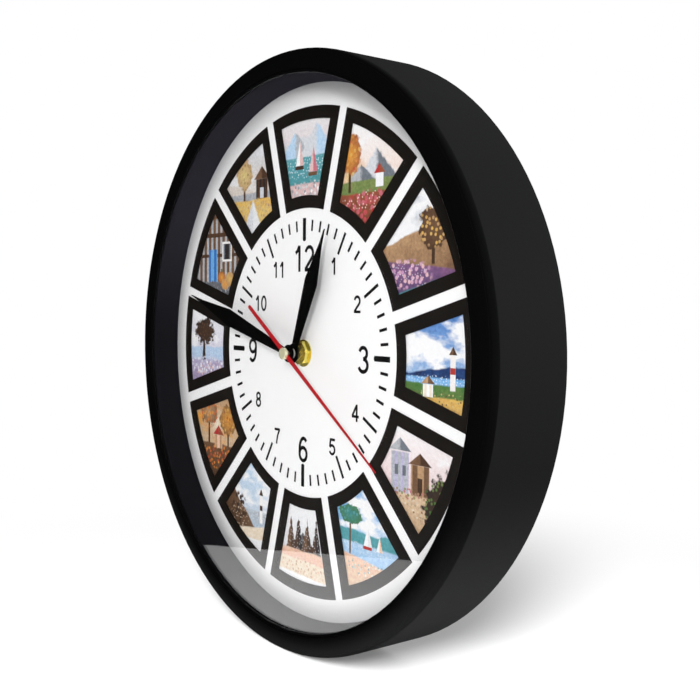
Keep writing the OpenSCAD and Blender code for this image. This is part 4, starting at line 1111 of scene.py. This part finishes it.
print("pictures so far:", len(pictures))

# %% [markdown]
# The other six: a cliff with a lighthouse, a cottage in an autumn wood, a bare tree over lavender, a
# timber wall with pumpkins, a barn by a wheat field, and boats in a misty bay.

# %% Pictures of the second half
pictures[7] = picture_finish(7, ("cloud", "pale_sky", "white", 0.6), [
    ridge("mist", "pale_sky", 0.44, 0.02, 1.0), dots("white", "pale_sky", 0.6, 0.38, 0.4, 0.06, 28.0, 0.24),
    ridge("bark", "umber", 0.7, 0.3, 3.0, slope=-0.7, seed=2.5),
    dots("umber", "soot", 0.22, 0.42, 0.2, 0.2, 14.0, 0.42),
    dots("tan", "cream", 0.26, 0.34, 0.22, 0.16, 22.0, 0.22),
    ridge("cream", "sand", 0.18, 0.06, 2.0, slope=0.12), ridge("white", "cloud", 0.12, 0.06, 3.0, seed=5.0),
    box("white", "cream", 0.7, 0.46, 0.03, 0.16), box("umber", "soot", 0.7, 0.48, 0.028, 0.03),
    peak("umber", "soot", 0.7, 0.62, 0.045, 0.08)])
pictures[8] = picture_finish(8, ("sand", "tan", "amber", 0.5), [
    blob("cream", "sand", 0.46, 0.6, 0.22, 0.22, softness=0.9),
    box("umber", "soot", 0.28, 0.52, 0.02, 0.26), box("umber", "soot", 0.72, 0.5, 0.018, 0.24),
    blob("tan", "bark", 0.28, 0.72, 0.2, 0.16, ragged=1.1),
    dots("amber", "red", 0.28, 0.7, 0.22, 0.18, 17.0, 0.38),
    blob("amber", "bark", 0.72, 0.66, 0.2, 0.18, ragged=1.1),
    dots("gold", "brick", 0.72, 0.66, 0.22, 0.2, 17.0, 0.36), ridge("bark", "umber", 0.36, 0.06, 3.0),
    dots("amber", "red", 0.5, 0.2, 0.5, 0.16, 18.0, 0.36), box("peach", "tan", 0.5, 0.38, 0.09, 0.08, 60.0),
    peak("red", "brick", 0.5, 0.46, 0.13, 0.12)])
pictures[9] = picture_finish(9, ("lilac", "white", "white", 0.6), [
    ridge("pale_sky", "lilac", 0.5, 0.2, 2.0, seed=1.0), peak("umber", "soot", 0.42, 0.24, 0.05, 0.56, 0.2),
    blob("umber", "soot", 0.44, 0.68, 0.24, 0.16, softness=0.2, ragged=1.8),
    dots("bark", "umber", 0.44, 0.66, 0.26, 0.18, 19.0, 0.3),
    ridge("lilac", "plum", 0.34, 0.05, 2.0, seed=2.0),
    dots("lilac", "white", 0.5, 0.26, 0.5, 0.12, 20.0, 0.42),
    dots("peach", "blush", 0.6, 0.2, 0.4, 0.12, 15.0, 0.26)])
pictures[10] = picture_finish(10, ("mist", "bark", "mist", 0.1), [
    box("bark", "mist", 0.5, 0.6, 0.5, 0.4, 60.0), box("umber", "bark", 0.5, 0.8, 0.5, 0.025),
    box("umber", "bark", 0.5, 0.56, 0.5, 0.02), box("sky", "deep_sky", 0.36, 0.44, 0.1, 0.2, 50.0),
    box("white", "cream", 0.68, 0.6, 0.11, 0.12), box("slate", "soot", 0.68, 0.6, 0.085, 0.095, 30.0),
    ridge("slate", "soot", 0.26, 0.03, 2.0), dots("mist", "umber", 0.5, 0.16, 0.5, 0.12, 20.0, 0.34),
    blob("amber", "brick", 0.56, 0.3, 0.09, 0.075), blob("gold", "tan", 0.74, 0.28, 0.1, 0.085),
    blob("amber", "tan", 0.64, 0.22, 0.09, 0.07), box("leaf", "umber", 0.56, 0.38, 0.012, 0.02)])
pictures[11] = picture_finish(11, ("sand", "cloud", "chalk", 0.5), [
    ridge("mist", "slate", 0.5, 0.12, 1.4, seed=1.5), box("umber", "soot", 0.68, 0.52, 0.12, 0.12, 80.0),
    peak("bark", "umber", 0.68, 0.63, 0.17, 0.15), box("cloud", "mist", 0.68, 0.48, 0.04, 0.06),
    box("umber", "soot", 0.32, 0.5, 0.02, 0.14), blob("straw", "tan", 0.32, 0.7, 0.17, 0.17, ragged=1.0),
    dots("straw", "bark", 0.32, 0.7, 0.18, 0.18, 17.0, 0.32),
    ridge("gold", "straw", 0.42, 0.05, 2.0, seed=1.5),
    dots("straw", "tan", 0.5, 0.28, 0.5, 0.16, 22.0, 0.4),
    peak("cloud", "chalk", 0.5, -0.04, 0.26, 0.47, 0.1),
    dots("white", "slate", 0.5, 0.08, 0.2, 0.1, 24.0, 0.25)])
pictures[12] = picture_finish(12, ("blush", "chalk", "cloud", 0.5), [
    peak("pale_sky", "mist", 0.32, 0.5, 0.3, 0.3, 0.3),
    peak("cloud", "pale_sky", 0.7, 0.5, 0.34, 0.36, 0.3), ridge("sea", "teal", 0.52, 0.02, 1.0),
    dots("white", "pale_sky", 0.5, 0.4, 0.5, 0.12, 24.0, 0.24),
    peak("white", "blush", 0.4, 0.42, 0.08, 0.28), box("umber", "soot", 0.39, 0.405, 0.08, 0.02),
    peak("blush", "rose", 0.64, 0.34, 0.08, 0.28), box("bark", "umber", 0.63, 0.325, 0.08, 0.02),
    ridge("blush", "mist", 0.24, 0.08, 3.0, seed=8.0),
    dots("white", "slate", 0.5, 0.16, 0.4, 0.12, 18.0, 0.36)])
print("pictures:", len(pictures))

# %% [markdown]
# The twelve prints are one solid with twelve loose islands. Each island gets its own material and a
# UV map that stays upright whatever the hour, as the pictures of such clocks do.

# %% Set the pictures into the windows
WINDOW_HALF = 24.5 * MM
WINDOW_RING = 99.5 * MM

mesh = nodes["picture_prints"].data
mesh.materials.clear()
for hour in range(1, 13):
    mesh.materials.append(pictures[hour])
uv_layer = mesh.uv_layers.new(name="window")
for polygon in mesh.polygons:
    centre = polygon.center
    hour = round(math.atan2(centre.x, centre.z) / HOUR_ANGLE) % 12 or 12
    polygon.material_index = hour - 1
    left = WINDOW_RING * math.sin(HOUR_ANGLE * hour) - WINDOW_HALF
    bottom = WINDOW_RING * math.cos(HOUR_ANGLE * hour) - WINDOW_HALF
    for corner in polygon.loop_indices:
        at = mesh.vertices[mesh.loops[corner].vertex_index].co
        uv_layer.data[corner].uv = ((at.x - left) / (2 * WINDOW_HALF), (at.z - bottom) / (2 * WINDOW_HALF))
print("prints dressed:", len(mesh.polygons), "faces")

# %% [markdown]
# Last comes the studio: a pale floor that the drum's rim stands on. It catches a soft shadow near
# the clock and melts into the white background farther out, where it glows as the background does.
# The floor and the clock have lamps of their own, so that the shadow can be set by itself.

# %% Studio floor
FLOOR_SIZE = 12.0
FLOOR_TONE = (0.7, 0.7, 0.7)
MELT_FROM, MELT_TO, MELT_LEAST = 0.15, 0.42, 0.16


def sheet(name, outline, height, material):
    """A flat polygon at a height, as part of the studio."""
    mesh = bpy.data.meshes.new(name)
    mesh.from_pydata([(x, y, height) for x, y in outline], [], [tuple(range(len(outline)))])
    mesh.materials.append(material)
    obj = new_piece(name, mesh)
    return obj


def light_group(name, lights, obj, state="INCLUDE"):
    """Lets lights reach only one object, or all but that one."""
    group = bpy.data.collections.new(name)
    group.objects.link(obj)
    group.collection_objects[0].light_linking.link_state = state
    for light in lights:
        light.light_linking.receiver_collection = group


paper = finish("floor_paper", FLOOR_TONE, 0.8, Specular_IOR_Level=0.0)
tree = paper.node_tree
distance = length_of(tree, object_place(tree))
melt = ramp(tree, distance, MELT_FROM, MELT_TO, MELT_LEAST)
white = add_node(tree, "ShaderNodeEmission", Strength=1.0)
both = add_node(tree, "ShaderNodeMixShader", melt, tree.nodes["Principled BSDF"].outputs[0], white.outputs[0])
feed(tree, tree.nodes["Material Output"].inputs["Surface"], both.outputs[0])
half = FLOOR_SIZE / 2
floor = sheet("studio_floor", [(-half, -half), (half, -half), (half, half), (-half, half)], drum_foot, paper)
floor.visible_glossy = False
floor.visible_transmission = False
light_group("floor_only", [floor_lamp], floor)
light_group("not_floor", clock_lamps, floor, state="EXCLUDE")
print("floor ready")

# %% [markdown]
# The glass mirrors the table in front of it as far as the table's edge, so the lowest part of the
# dial looks veiled. A real table would also light the drum, so a glowing card that only the glass
# can see stands in for it. Its long edge is the table's edge, found from the photograph. It glows a
# little less where it is seen at a more grazing angle.

# %% Studio card
CARD = [(-0.3, -0.045), (0.3, -0.504), (0.3, -0.045)]
CARD_LIFT = 1 * MM
CARD_NEAR, CARD_FAR = 1.75, 1.1
FADE_FROM, FADE_TO = 0.69, 0.77

glow, tree, shader = new_material("card_glow")
shader.inputs["Base Color"].default_value = (0, 0, 0, 1)
shader.inputs["Emission Color"].default_value = WHITE
grazing = add_node(tree, "ShaderNodeLayerWeight").outputs["Facing"]
strength = ramp(tree, grazing, FADE_FROM, FADE_TO, CARD_NEAR, CARD_FAR, kind="LINEAR")
feed(tree, shader.inputs["Emission Strength"], strength)
card = sheet("studio_card", CARD, drum_foot + CARD_LIFT, glow)
card.visible_camera = False
card.visible_diffuse = False
card.visible_shadow = False
light_group("glass_only", [card], nodes["glass_lens"])
print("card ready")
